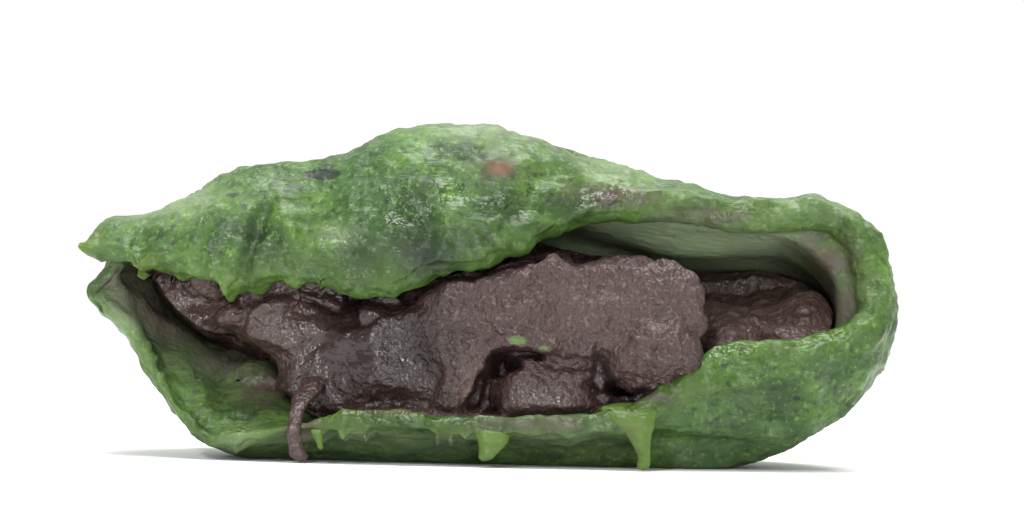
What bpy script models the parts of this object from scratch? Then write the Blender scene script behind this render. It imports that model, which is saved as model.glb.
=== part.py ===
"""Half of a mugwort rice cake, torn open to show its red bean paste.

X runs along the half, -Y is its torn side, +Y the round back of the cake and +Z up. The origin is the
middle of the whole half's box, on the floor. There are two pieces: the skin, a pocket of rice dough
that rests on its flat underside, and the filling, the paste in the pocket, seen in the torn mouth.

Both are surfaces of two parameters. u counts the stations round the mouth, and a second parameter
runs along each station's profile: from the round back, over the outside, round the lip and back
along the inside for the skin, and from the back to a line along the torn face for the filling.
"""

import itertools

import bmesh
import bpy
import numpy as np

MM = 0.001

# Driving dimensions, in millimetres
BACK_DEPTH = 27.0  # from the widest section to the round back
BACK_MIDDLE = np.array((0.0, 11.0))  # x and z that the back's sections shrink to
BACK_FULLNESS = 2.3  # superellipse power of the back: 2 is an ellipse, more is boxier
BACK_HALF_WIDTH, BACK_TOP, BACK_UNDER = 33.0, 15.0, 12.5  # the plain oval that the outline blends to
LEAST_TURN, MOST_TURN = np.radians((35, 80))  # how far the outside turns in, up to the lip
FULL_TURN_REACH = 10.0  # from outline to lip, where it turns in the most
LOW_LIP, HIGH_LIP = 3.6, 6.5  # z: a low lip juts out straight, a high one curls in
WALL_THICKNESS, ROOF_THICKNESS = 3.6, 6.0  # of the skin, inside the pocket
WALL_HEIGHT, ROOF_HEIGHT = 13.0, 20.0
END_X, END_WIDTH, END_THINNING = 16.0, 12.0, 0.35  # it thins towards the two ends
THICKENING_DEPTH = 9.0  # from the lip to where the skin is that thick
GATHER_MIDDLE = np.array((-21.0, 3.5))  # x and z where the dough was gathered, and is thicker
GATHER_THICKNESS, GATHER_REACH = 4.0, 7.0
ROUNDING, ROUNDING_REACH = 2, 0.4  # the pocket inside the lip is rounder than the torn outline
BASE_THICKNESS, BASE_REACH = 2.6, 0.5  # of the skin on the floor, and how far in from the lip it starts
FLOOR_BLEND = 0.8  # how softly the sides meet the flat underside
GAP = 0.3  # between skin and filling

# Stations round the mouth, seen from the torn side, clockwise from the left corner:
# widest outline x, z; lip x, y, z; lip thickness; depth y at which the paste starts inside
STATIONS = np.array(
    (
        (-31.8, 15.9, -31.8, -1.0, 15.9, 1.0, 5.0),  # left corner of the mouth
        (-32.2, 18.9, -33.8, -3.0, 17.8, 1.2, 3.0),  # left hump
        (-26.8, 20.8, -27.0, -5.0, 16.4, 1.8, -0.5),
        (-20.8, 24.2, -20.5, -6.8, 15.2, 2.4, -1.5),
        (-13.8, 25.5, -14.0, -7.6, 15.4, 2.4, -2.0),
        (-8.4, 27.7, -8.0, -8.0, 15.0, 2.6, -3.0),
        (-2.8, 28.1, -3.2, -8.0, 16.9, 2.6, -1.0),  # crown
        (4.0, 27.3, 3.2, -7.0, 18.4, 2.6, 12.0),
        (9.8, 25.8, 7.2, -5.2, 21.0, 3.0, 14.0),  # the overhanging lip ends
        (15.2, 23.8, 13.6, -3.5, 23.3, 3.0, 12.0),
        (21.5, 22.5, 21.3, -2.8, 22.4, 3.0, 12.0),  # dip
        (27.4, 23.1, 27.3, -2.4, 22.8, 3.0, 11.0),  # right shoulder
        (31.8, 20.0, 31.7, -2.4, 20.0, 3.2, 9.0),
        (33.5, 13.4, 33.2, -3.0, 13.4, 3.0, 5.0),  # right end
        (32.0, 7.6, 30.8, -5.0, 10.6, 2.8, -1.0),
        (27.0, 2.6, 24.8, -7.0, 9.4, 2.6, -4.5),
        (20.0, -0.8, 17.8, -8.3, 8.0, 2.4, -6.5),
        (10.5, -1.8, 11.6, -9.2, 3.3, 2.0, -8.0),
        (0.0, -2.2, 0.5, -9.6, 2.5, 1.7, -8.6),
        (-10.0, -2.0, -9.0, -9.4, 2.9, 1.7, -8.4),
        (-17.0, -1.2, -16.4, -8.4, 1.2, 1.6, -4.0),
        (-22.6, 0.8, -22.4, -6.0, 0.8, 1.4, 3.0),
        (-26.7, 5.3, -26.6, -4.0, 5.2, 1.2, 7.0),
        (-29.6, 9.6, -29.6, -2.8, 9.6, 1.1, 7.0),
        (-33.2, 13.2, -33.2, -1.8, 13.2, 1.0, 6.0),  # lower left tip
    )
)
OUTLINE_X, OUTLINE_Z, LIP_X, LIP_Y, LIP_Z, LIP_THICKNESS, PASTE_Y = range(7)
RIGHT_END = 13  # the station there; the left corner is station 0
UPPER_STATIONS = (0.2, 9)  # between these the upper lip hangs over the mouth

# Torn points of the lips that hang down: lip x, how far, half width
UPPER_TEETH = ((-27.6, 2.4, 0.7), (-21.6, 2.6, 0.9), (-7.6, 0.5, 2.0))
LOWER_TEETH = ((-8.8, 0.8, 0.8), (0.3, 2.2, 1.2), (12.4, 3.0, 1.0))
TOOTH_REACH, TOOTH_POWER = 2.2, 1.6  # how far along the profile it draws the dough, and its bluntness
TOOTH_SHARE = 0.7  # a lower tooth fades out over this share of the lip's rounding

# The torn face of the paste: middle x, z; half width, half height; tilt in degrees; depth y; softness
FACE_LEVEL, FORM_POWER = 9.0, 3  # depth where there is no form, and how boxy the forms are
FACE_MIDDLE, MIDLINE_LENGTH = np.array((0.0, 9.5)), 0.86  # the face's rows close on a line: its share
FACE_EDGE = 0.14  # share of the way to that line over which the face leaves the paste's edge
FACE_FORMS = (
    (-27.0, 12.8, 8.5, 3.2, 0, 1.5, 2.5),  # thin paste on the left wall
    (-10.5, 9.6, 10.5, 6.6, 0, -4.5, 3.0),  # smooth field left of the lump
    (-20.8, 8.1, 3.6, 1.8, -12, 7.5, 1.8),  # hollow under the left paste
    (5.7, 11.4, 11.8, 5.2, 0, -8.0, 1.6),  # main lump
    (-1.8, 7.4, 2.2, 3.6, 0, -7.6, 1.4),  # its left leg
    (11.5, 5.4, 4.5, 1.3, 0, -5.0, 1.2),  # shade under the knob
    (13.7, 9.9, 3.9, 3.9, 0, -9.2, 3.2),  # knob on its right
    (5.0, 5.8, 3.9, 2.5, 0, -7.2, 1.0),  # lower chunk
    (3.0, 8.8, 2.8, 0.9, 0, -3.2, 1.0),  # crack between them
    (0.4, 6.7, 0.8, 2.2, -35, -3.8, 0.9),  # tail of the crack
    (9.8, 7.4, 0.8, 2.6, 0, -4.6, 1.3),  # notch between chunk and knob
)
RAMP_X, RAMP_LOW, RAMP_HIGH = 18.5, (9.0, -5.5), (14.6, 8.0)  # paste that rises in the right hollow
RAMP_SLOPE, RAMP_BLEND = 0.12, 2.0  # how fast it climbs to the right end; its soft left side
LIP_CLEARANCE = 0.9  # from the overhanging lip's inside to the paste behind it
LIP_COVER, COVER_BLEND = 1.4, 1.0  # how far below the lip the paste is held back, and how softly

# Relief of the dough and the paste: size across and height of the lumps
OUTER_LUMPS = ((7.0, 0.55), (3.2, 0.28))
INNER_LUMPS = ((6.0, 0.30),)
PASTE_LUMPS = ((3.4, 0.35), (1.8, 0.15))
LIP_LUMPS = (2.6, 0.45)
LATTICE, LATTICE_PHASE = 32, 4  # random values each way, after which the relief repeats; its start
BEAN_SPECK = np.array((0.8, -4.0, 24.4))  # a bit of bean stuck on the crown
BEAN_SPECK_RADIUS, BEAN_SPECK_HEIGHT, BEAN_SPECK_POWER = 1.3, 0.6, 4

# Mesh: columns round the mouth, rows along the profiles
SKIN_COLUMNS, SKIN_ROWS = 104, 31
FILLING_COLUMNS, FILLING_ROWS = 136, 25
DENSE = 240  # samples from which evenly spread columns and rows are picked
ROW_SMOOTHING = 12  # times that each row's place is averaged with its neighbours'


def smooth_step(t):
    t = np.clip(t, 0, 1)
    return t * t * (3 - 2 * t)


def smooth_max(a, b, blend):
    """The larger of a and b, with the corner between them rounded over the blend."""
    return np.maximum(a, b) + np.maximum(blend - np.abs(a - b), 0) ** 2 / (4 * blend)


def unit(vectors):
    return vectors / np.maximum(np.linalg.norm(vectors, axis=-1, keepdims=True), 1e-12)


def noise(points, size, seed):
    """Smooth random field from -1 to 1, with lumps about size across: random values on a lattice,
    blended between its corners."""
    lattice = np.random.default_rng(seed).uniform(-1, 1, (LATTICE,) * 3)
    cell = points / size + LATTICE_PHASE
    low = np.floor(cell).astype(int)
    part = smooth_step(cell - low)
    total = np.zeros(points.shape[:-1])
    for corner in itertools.product((0, 1), repeat=3):
        weight = np.prod(np.where(corner, part, 1 - part), axis=-1)
        index = (low + corner) % LATTICE
        total += weight * lattice[index[..., 0], index[..., 1], index[..., 2]]
    return total


def lumps(points, layers, seed):
    return sum(height * noise(points, size, seed + i) for i, (size, height) in enumerate(layers))


def at_stations(u, rounded=0.0):
    """The station values at u: a closed Catmull-Rom curve through the rows of STATIONS, or through their
    averages with their neighbours where it is rounded."""
    low = np.floor(u).astype(int)
    t = (u - low)[..., None]
    averages = STATIONS
    for _ in range(ROUNDING):
        averages = (np.roll(averages, 1, axis=0) + 2 * averages + np.roll(averages, -1, axis=0)) / 4
    values = []
    for table in (STATIONS, averages):
        a, b, c, d = (table[(low + k) % len(table)] for k in (-1, 0, 1, 2))
        values.append(b + 0.5 * t * (c - a + t * (2 * a - 5 * b + 4 * c - d + t * (3 * (b - c) + d - a))))
    exact, average = values
    share = np.asarray(rounded)[..., None]
    return np.moveaxis(exact + (average - exact) * share, -1, 0)


def turn_to_lip(row):
    """The angle the outside turns through on its way to the lip: more, the farther in the lip hangs."""
    reach = np.hypot(row[OUTLINE_X] - row[LIP_X], row[OUTLINE_Z] - row[LIP_Z])
    return LEAST_TURN + (MOST_TURN - LEAST_TURN) * smooth_step(reach / FULL_TURN_REACH)


def plain_oval(outline):
    """The point of the back's plain oval in the direction of each outline point."""
    ray = outline - BACK_MIDDLE
    half_height = np.where(ray[..., 1] > 0, BACK_TOP, BACK_UNDER)
    reach = np.abs(ray[..., 0] / BACK_HALF_WIDTH) ** BACK_FULLNESS
    reach = (reach + np.abs(ray[..., 1] / half_height) ** BACK_FULLNESS) ** (1 / BACK_FULLNESS)
    return BACK_MIDDLE + ray / reach[..., None]


def outside(u, v, rounded=0.0):
    """The undented outside of the cake: v is 0 at the round back, 1 at the widest section, 2 at the lip.
    The back is a superellipse in depth whose sections blend from the outline to a plain oval, and the
    front is an arc from the outline to the lip."""
    row = at_stations(u, rounded)
    outline = np.stack((row[OUTLINE_X], row[OUTLINE_Z]), -1)
    lip = np.stack((row[LIP_X], row[LIP_Z]), -1)
    back_turn = np.clip(v, 0, 1) * np.pi / 2
    outline = plain_oval(outline) + (outline - plain_oval(outline)) * smooth_step(v)[..., None]
    whole_turn = turn_to_lip(row)
    front_turn = np.clip(v - 1, 0, 1) * whole_turn
    size = np.sin(back_turn) ** (2 / BACK_FULLNESS)
    curl = smooth_step((row[LIP_Z] - LOW_LIP) / (HIGH_LIP - LOW_LIP))
    straight = np.clip(v - 1, 0, 1)
    inward = straight + ((1 - np.cos(front_turn)) / (1 - np.cos(whole_turn)) - straight) * curl
    section = BACK_MIDDLE + (outline - BACK_MIDDLE) * size[..., None]
    across = section + (lip - outline) * (inward * (v > 1))[..., None]
    back = BACK_DEPTH * np.maximum(np.cos(back_turn), 0) ** (2 / BACK_FULLNESS)
    forward = row[LIP_Y] * np.sin(front_turn) / np.sin(whole_turn)
    depth = np.where(v < 1, back, forward)
    return np.stack((across[..., 0], depth, across[..., 1]), -1)


def directions(u, v, rounded=0.0):
    """Outward normal of the outside, and the direction in which its profile runs on, at each u and v."""
    step = 0.02
    v = np.clip(v, 2 * step, 2 - step)
    along = outside(u, v + step, rounded) - outside(u, v - step, rounded)
    around = outside(u + step, v, rounded) - outside(u - step, v, rounded)
    return unit(np.cross(along, around)), unit(along)


def thickness(u, points):
    """The skin thickens from its torn lip to the inside of the pocket. It is thickest in the sagging
    roof and where the dough was gathered, and thinner towards the ends."""
    row = at_stations(u)
    roof = smooth_step((points[..., 2] - WALL_HEIGHT) / (ROOF_HEIGHT - WALL_HEIGHT))
    deep = WALL_THICKNESS + (ROOF_THICKNESS - WALL_THICKNESS) * roof
    deep = deep * (1 - END_THINNING * smooth_step((np.abs(points[..., 0]) - END_X) / END_WIDTH))
    from_gather = np.linalg.norm(points[..., (0, 2)] - GATHER_MIDDLE, axis=-1)
    deep += GATHER_THICKNESS * np.exp(-(from_gather / GATHER_REACH) ** 2)
    inside = smooth_step((points[..., 1] - row[LIP_Y]) / THICKENING_DEPTH)
    return row[LIP_THICKNESS] + (deep - row[LIP_THICKNESS]) * inside


def teeth(x, rows):
    """How far the torn points of a lip hang down at each x."""
    return sum(
        reach * np.exp(-(np.abs(x - middle) / width) ** TOOTH_POWER) for middle, reach, width in rows
    )


def upper_lip(u):
    return (u % len(STATIONS) > UPPER_STATIONS[0]) & (u % len(STATIONS) < UPPER_STATIONS[1])


def skin(u, s):
    """The skin's surface. s runs 0 to 2 over the outside, 2 to 3 round the lip and 3 to 5 over the inside.
    Each point lies half a thickness from the skin's middle surface, in a direction that turns with s."""
    v = np.where(s < 3, np.minimum(s, 2), 5 - s)
    turn = np.clip(s - 2, 0, 1) * np.pi
    rounded = smooth_step((s - 3) / ROUNDING_REACH)
    base = outside(u, v, rounded)
    normal, along = directions(u, v, rounded)
    half = thickness(u, base)[..., None] / 2
    around = np.cos(turn)[..., None] * normal + np.sin(turn)[..., None] * along
    points = base - half * normal + half * around
    outer_relief = lumps(base, OUTER_LUMPS, seed=1)
    outer_relief += BEAN_SPECK_HEIGHT * np.exp(
        -(np.linalg.norm(base - BEAN_SPECK, axis=-1) / BEAN_SPECK_RADIUS) ** BEAN_SPECK_POWER
    )
    inner_relief = lumps(base, INNER_LUMPS, seed=5)
    share = (1 - np.cos(turn)) / 2
    points += (outer_relief * (1 - share) + inner_relief * share)[..., None] * normal
    points += (np.sin(turn) * LIP_LUMPS[1] * noise(base, LIP_LUMPS[0], seed=9))[..., None] * along
    from_lip = np.linalg.norm(base - outside(u, np.full(np.shape(s), 2.0)), axis=-1)
    hanging = np.where(upper_lip(u), teeth(base[..., 0], UPPER_TEETH), 0)
    outer = 1 - smooth_step((s - 2) / TOOTH_SHARE)
    jutting = outer * np.where(upper_lip(u), 0, teeth(base[..., 0], LOWER_TEETH))
    jutting *= base[..., 2] < HIGH_LIP
    points[..., 2] -= (hanging + jutting) * np.exp(-(from_lip / TOOTH_REACH) ** 2)
    floor = BASE_THICKNESS * smooth_step((s - 3) / BASE_REACH)
    points[..., 2] = smooth_max(points[..., 2], floor, FLOOR_BLEND)
    return points


def paste_edge(u):
    """The v at which the paste starts at each u, from its depth there."""
    row = at_stations(u)
    back = np.clip(row[PASTE_Y] / BACK_DEPTH, 0, 1) ** (BACK_FULLNESS / 2)
    turn = turn_to_lip(row)
    front = np.clip(row[PASTE_Y] / row[LIP_Y], 0, 1) * np.sin(turn)
    return np.where(row[PASTE_Y] > 0, np.arccos(back) * 2 / np.pi, 1 + np.arcsin(front) / turn)


def filling_back(u, v):
    """The filling's hidden side: the skin's inside, with a gap."""
    rounded = smooth_step((2 - v) / ROUNDING_REACH)
    base = outside(u, v, rounded)
    normal, _ = directions(u, v, rounded)
    inset = GAP + thickness(u, base) - lumps(base, INNER_LUMPS, seed=5)
    points = base - inset[..., None] * normal
    points[..., 2] = smooth_max(points[..., 2], BASE_THICKNESS + GAP, FLOOR_BLEND)
    return points


def face_depth(x, z):
    """Depth y of the torn face: each form of the paste draws the face to its own depth."""
    height = z - RAMP_SLOPE * (x - RAMP_X)
    share = np.clip((height - RAMP_LOW[0]) / (RAMP_HIGH[0] - RAMP_LOW[0]), 0, 1)
    ramp = RAMP_LOW[1] + (RAMP_HIGH[1] - RAMP_LOW[1]) * share
    depth = FACE_LEVEL + (ramp - FACE_LEVEL) * smooth_step((x - RAMP_X) / RAMP_BLEND + 1)
    for middle_x, middle_z, half_width, half_height, tilt, level, softness in FACE_FORMS:
        c, s = np.cos(np.radians(tilt)), np.sin(np.radians(tilt))
        across = ((x - middle_x) * c + (z - middle_z) * s) / half_width
        up = ((z - middle_z) * c - (x - middle_x) * s) / half_height
        out = (np.abs(across) ** FORM_POWER + np.abs(up) ** FORM_POWER) ** (1 / FORM_POWER)
        edge = (1 - out) * min(half_width, half_height) / softness
        depth = depth + (level - depth) * smooth_step(0.5 + edge)
    return depth


def behind_lip(points):
    """Keeps the face behind the upper lip where that hangs over it."""
    row = at_stations(np.linspace(*UPPER_STATIONS, DENSE))
    row = row[:, np.argsort(row[LIP_X])]
    x, z = points[..., 0], points[..., 2]
    lip_z, lip_y, lip_t = (np.interp(x, row[LIP_X], row[i]) for i in (LIP_Z, LIP_Y, LIP_THICKNESS))
    lip_z = lip_z - lip_t / 2 - teeth(x, UPPER_TEETH)
    limit = lip_y + lip_t + LIP_CLEARANCE
    held = smooth_step((z - lip_z + LIP_COVER) / COVER_BLEND) * (x < row[LIP_X, -1])
    points[..., 1] += held * np.maximum(limit - points[..., 1], 0)
    return points


def filling(u, s):
    """The filling's surface. s runs 0 to 1 over its hidden side, and 1 to 2 over the torn face, from the
    paste's edge to the line midway between the edge above and the edge below. The last axis of u and s
    goes once round the mouth, and its two halves mirror each other in the midline."""
    edge_v = paste_edge(u)
    hidden = filling_back(u, np.minimum(s, 1) * edge_v)
    edge = filling_back(u, edge_v)
    flat = edge[..., (0, 2)]
    midway = (flat + np.roll(flat[..., ::-1, :], 1, axis=-2)) / 2
    midline = FACE_MIDDLE + (midway - FACE_MIDDLE) * MIDLINE_LENGTH
    out = (2 - np.maximum(s, 1))[..., None]
    across = midline + (flat - midline) * out
    free = smooth_step((1 - out[..., 0]) / FACE_EDGE)
    face = np.stack((across[..., 0], face_depth(across[..., 0], across[..., 1]), across[..., 1]), -1)
    face[..., 1] += lumps(face, PASTE_LUMPS, seed=11)
    face = behind_lip(face)
    face[..., 1] = edge[..., 1] + (face[..., 1] - edge[..., 1]) * free
    return np.where((s < 1)[..., None], hidden, face)


def even_columns(count):
    """Values of u spread evenly along outline and toothed lip together: half of them over the mouth, from
    its left corner to its right end, and half under it."""
    u = np.linspace(0, len(STATIONS), DENSE * 8)
    row = at_stations(u)
    lip_z = row[LIP_Z] - np.where(upper_lip(u), teeth(row[LIP_X], UPPER_TEETH), 0)
    curve = np.stack((row[OUTLINE_X], row[OUTLINE_Z], row[LIP_X], row[LIP_Y], lip_z), -1)
    length = np.append(0, np.cumsum(np.linalg.norm(np.diff(curve, axis=0), axis=-1)))
    corner_lengths = np.interp((0, RIGHT_END, len(STATIONS)), u, length)
    places = np.interp(np.arange(count) / count, (0, 0.5, 1), corner_lengths)
    return np.interp(places, length, u)


def even_rings(surface, end, rows, columns):
    """Rings of points on a surface of u and s, spread evenly along each profile from s = 0 to its end."""
    u = even_columns(columns)
    s = np.linspace(0, end, DENSE)
    dense = surface(*np.meshgrid(u, s))
    length = np.cumsum(np.linalg.norm(np.diff(dense, axis=0, prepend=dense[:1]), axis=-1), axis=0)
    even = np.linspace(0, 1, rows)
    picked = np.stack([np.interp(even * column[-1], column, s) for column in length.T], 1)
    for _ in range(ROW_SMOOTHING):
        picked = (np.roll(picked, 1, axis=1) + 2 * picked + np.roll(picked, -1, axis=1)) / 4
    return surface(np.broadcast_to(u, (rows, columns)), picked)


def closed_body(name, rings, material, midline):
    """One closed mesh through the rings: quads between them, and a fan of triangles round the first ring,
    which is a pole. The last ring is a pole too, or else a midline whose two halves share their points."""
    work = bmesh.new()
    count = len(rings[0])
    first = work.verts.new(rings[0].mean(axis=0) * MM)
    loops = [[work.verts.new(point * MM) for point in ring] for ring in rings[1:-1]]
    if midline:
        shared = [work.verts.new(point * MM) for point in rings[-1][: count // 2 + 1]]
        loops.append([shared[min(i, count - i)] for i in range(count)])
    else:
        last = work.verts.new(rings[-1].mean(axis=0) * MM)
        for i in range(count):
            work.faces.new((last, loops[-1][i - 1], loops[-1][i]))
    for low, high in itertools.pairwise(loops):
        for i in range(count):
            work.faces.new((low[i - 1], low[i], high[i], high[i - 1]))
    for i in range(count):
        work.faces.new((first, loops[0][i], loops[0][i - 1]))
    if work.calc_volume(signed=True) < 0:
        bmesh.ops.reverse_faces(work, faces=work.faces)
    bmesh.ops.triangulate(work, faces=work.faces)
    mesh = bpy.data.meshes.new(name)
    work.to_mesh(mesh)
    work.free()
    mesh.shade_smooth()
    mesh.materials.append(material)
    body = bpy.data.objects.new(name, mesh)
    bpy.context.scene.collection.objects.link(body)
    return body


def food_material(name, colour, roughness):
    material = bpy.data.materials.new(name)
    material.use_nodes = True
    shader = material.node_tree.nodes["Principled BSDF"]
    shader.inputs["Base Color"].default_value = (*colour, 1)
    shader.inputs["Roughness"].default_value = roughness
    shader.inputs["Metallic"].default_value = 0
    return material


def build():
    for old in list(bpy.data.objects):
        bpy.data.objects.remove(old, do_unlink=True)
    skin_rings = even_rings(skin, 5, SKIN_ROWS, SKIN_COLUMNS)
    filling_rings = even_rings(filling, 2, FILLING_ROWS, FILLING_COLUMNS)
    points = np.concatenate((skin_rings.reshape(-1, 3), filling_rings.reshape(-1, 3)))
    middle = (points.min(axis=0) + points.max(axis=0)) / 2 * (1, 1, 0)
    dough = food_material("mugwort_dough", (0.16, 0.27, 0.10), 0.4)
    paste = food_material("bean_paste", (0.13, 0.08, 0.07), 0.6)
    closed_body("skin", skin_rings - middle, dough, midline=False)
    closed_body("filling", filling_rings - middle, paste, midline=True)


build()
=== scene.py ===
import itertools

import bpy
import numpy as np
from mathutils import Matrix, Vector


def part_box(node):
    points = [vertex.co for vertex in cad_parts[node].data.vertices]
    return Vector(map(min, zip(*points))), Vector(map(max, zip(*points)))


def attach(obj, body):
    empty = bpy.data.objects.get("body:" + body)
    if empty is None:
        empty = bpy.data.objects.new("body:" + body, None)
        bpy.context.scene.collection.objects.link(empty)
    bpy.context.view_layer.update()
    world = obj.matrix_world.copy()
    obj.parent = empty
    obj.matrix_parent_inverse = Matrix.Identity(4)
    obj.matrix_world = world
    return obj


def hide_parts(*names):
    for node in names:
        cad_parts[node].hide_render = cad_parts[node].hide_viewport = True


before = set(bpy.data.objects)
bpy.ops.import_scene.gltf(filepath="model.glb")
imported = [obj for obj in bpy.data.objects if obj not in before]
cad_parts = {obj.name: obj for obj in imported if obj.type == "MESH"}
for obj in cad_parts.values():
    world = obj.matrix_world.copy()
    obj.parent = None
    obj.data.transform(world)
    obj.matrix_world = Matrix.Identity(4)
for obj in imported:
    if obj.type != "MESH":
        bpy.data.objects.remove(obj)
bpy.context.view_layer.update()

# The skin's form: a pocket of pounded rice dough, closed round the paste and torn open by hand.
# Its outside sags to a flat underside, and its lips are pulled thin where they tore.
# Each station round the mouth has its own profile, from the round back over the lip to the inside.
MM = 0.001
BACK_DEPTH = 27.0  # from the widest section to the round back
BACK_MIDDLE = np.array((0.0, 11.0))  # x and z that the back's sections shrink to
BACK_FULLNESS = 2.3  # superellipse power of the back
BACK_HALF_WIDTH, BACK_TOP, BACK_UNDER = 33.0, 15.0, 12.5  # the plain oval that the outline blends to
LEAST_TURN, MOST_TURN = np.radians((35, 80))  # how far the outside turns in, up to the lip
FULL_TURN_REACH = 10.0  # from outline to lip, where it turns in the most
LOW_LIP, HIGH_LIP = 3.6, 6.5  # z: a low lip juts out straight, a high one curls in
WALL_THICKNESS, ROOF_THICKNESS = 3.6, 6.0
WALL_HEIGHT, ROOF_HEIGHT = 13.0, 20.0
END_X, END_WIDTH, END_THINNING = 16.0, 12.0, 0.35
THICKENING_DEPTH = 9.0  # from the lip to where the skin is that thick
GATHER_MIDDLE = np.array((-21.0, 3.5))  # x and z where the dough was gathered, and is thicker
GATHER_THICKNESS, GATHER_REACH = 4.0, 7.0
ROUNDING, ROUNDING_REACH = 2, 0.4  # the pocket inside the lip is rounder than the torn outline
BASE_THICKNESS, BASE_REACH = 2.6, 0.5
FLOOR_BLEND = 0.8  # how softly the sides meet the flat underside
GAP = 0.3  # between skin and paste

# Seen from the torn side, clockwise from the left corner: widest outline x, z; lip x, y, z;
# lip thickness; depth y at which the paste starts inside
STATIONS = np.array(
    (
        (-31.8, 15.9, -31.8, -1.0, 15.9, 1.0, 5.0),  # left corner of the mouth
        (-32.2, 18.9, -33.1, -3.0, 17.7, 1.2, 3.0),  # left hump
        (-26.8, 20.8, -27.0, -5.0, 16.4, 1.8, -0.5),
        (-20.8, 24.2, -20.5, -6.8, 15.2, 2.4, -1.5),
        (-13.8, 25.5, -14.0, -7.6, 15.4, 2.4, -2.0),
        (-8.4, 27.7, -8.0, -8.0, 15.0, 2.6, -3.0),
        (-2.8, 28.1, -3.2, -8.0, 16.9, 2.6, -1.0),  # crown
        (4.0, 27.3, 3.2, -7.0, 18.4, 2.6, 12.0),
        (9.8, 25.8, 7.2, -5.2, 21.0, 3.0, 14.0),  # the overhanging lip ends
        (15.2, 23.8, 13.6, -3.5, 23.3, 3.0, 12.0),
        (21.5, 22.5, 21.3, -2.8, 22.4, 3.0, 12.0),  # dip
        (27.4, 23.1, 27.3, -2.4, 22.8, 3.0, 11.0),  # right shoulder
        (31.8, 20.0, 31.7, -2.4, 20.0, 3.2, 9.0),
        (33.5, 13.4, 33.2, -3.0, 13.4, 3.0, 5.0),  # right end
        (32.0, 7.6, 30.8, -5.0, 10.6, 2.8, -1.0),
        (27.0, 2.6, 24.8, -7.0, 9.4, 2.6, -4.5),
        (20.0, -0.8, 17.8, -8.3, 8.0, 2.4, -6.5),
        (10.5, -1.8, 11.6, -9.2, 3.3, 2.0, -8.0),
        (0.0, -2.2, 0.5, -9.6, 2.5, 1.7, -8.6),
        (-10.0, -2.0, -9.0, -9.4, 2.9, 1.7, -8.4),
        (-17.0, -1.2, -16.4, -8.4, 1.2, 1.6, -4.0),
        (-22.6, 0.8, -22.4, -6.0, 0.8, 1.4, 3.0),
        (-26.7, 5.3, -26.6, -4.0, 5.2, 1.2, 7.0),
        (-29.6, 9.6, -29.6, -2.8, 9.6, 1.1, 7.0),
        (-33.2, 13.2, -33.2, -1.8, 13.2, 1.0, 6.0),  # lower left tip
    )
)
OUTLINE_X, OUTLINE_Z, LIP_X, LIP_Y, LIP_Z, LIP_THICKNESS, PASTE_Y = range(7)
RIGHT_END = 13
UPPER_STATIONS = (0.2, 9)  # between these the upper lip hangs over the mouth

# Torn points of the lips that hang down: lip x, how far, half width
UPPER_TEETH = (
    (-31.9, 0.5, 0.5), (-28.4, 1.6, 0.45), (-25.2, 0.4, 0.5), (-21.2, 1.4, 0.7), (-20.2, 0.5, 0.9),
    (-19.0, 0.5, 0.6), (-15.6, 0.4, 0.5), (-13.6, 0.5, 0.3), (-12.2, 0.3, 0.7), (-7.6, 0.5, 2.0),
    (-1.2, 0.3, 0.6),
)
LOWER_TEETH = (
    (-19.8, 0.5, 0.7), (-13.0, 0.8, 0.6), (-11.2, 0.8, 0.45), (-10.2, 0.5, 0.4), (-9.4, 1.1, 0.45),
    (-6.2, 0.3, 1.1), (-3.8, 0.9, 0.45), (-2.7, 1.1, 0.4), (-1.6, 0.9, 0.5), (0.3, 1.2, 1.0),
    (5.6, 0.3, 1.6), (12.2, 1.0, 1.4), (17.5, 0.4, 0.8),
)
TOOTH_REACH, TOOTH_POWER = 1.6, 1.6
TOOTH_SHARE = 0.7  # a lower tooth fades out over this share of the lip's rounding

# Relief of the dough: size across and height of the lumps
OUTER_LUMPS = ((7.0, 0.55), (3.2, 0.28))
INNER_LUMPS = ((6.0, 0.30),)
LIP_LUMPS = (2.6, 0.45)
LATTICE, LATTICE_PHASE = 32, 4

# Below the lower lip the outside draws back: how far, below which z and over what height, and where
LIP_STATIONS = (15.2, 20.8)
UNDERCUT, UNDERCUT_TOP, UNDERCUT_HEIGHT = 1.9, 2.9, 0.9
UNDERCUT_START, UNDERCUT_REACH = 1.5, 5.5


def smooth_step(t):
    """3 t squared less 2 t cubed, held to 0 and 1 outside that range."""
    t = np.clip(t, 0, 1)
    return t * t * (3 - 2 * t)


def smooth_max(a, b, blend):
    """The larger of a and b, plus a quarter of the squared overlap over the blend at their corner."""
    return np.maximum(a, b) + np.maximum(blend - np.abs(a - b), 0) ** 2 / (4 * blend)


def unit(vectors):
    """Each vector over its own length."""
    return vectors / np.maximum(np.linalg.norm(vectors, axis=-1, keepdims=True), 1e-12)


def noise(points, size, seed):
    """Random values from -1 to 1 on a lattice of that size, blended by smooth steps between corners."""
    lattice = np.random.default_rng(seed).uniform(-1, 1, (LATTICE,) * 3)
    cell = points / size + LATTICE_PHASE
    low = np.floor(cell).astype(int)
    part = smooth_step(cell - low)
    total = np.zeros(points.shape[:-1])
    for corner in itertools.product((0, 1), repeat=3):
        weight = np.prod(np.where(corner, part, 1 - part), axis=-1)
        index = (low + corner) % LATTICE
        total += weight * lattice[index[..., 0], index[..., 1], index[..., 2]]
    return total


def lumps(points, layers, seed):
    """The sum of noises, each of its own size times its own height."""
    return sum(height * noise(points, size, seed + i) for i, (size, height) in enumerate(layers))


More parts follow.
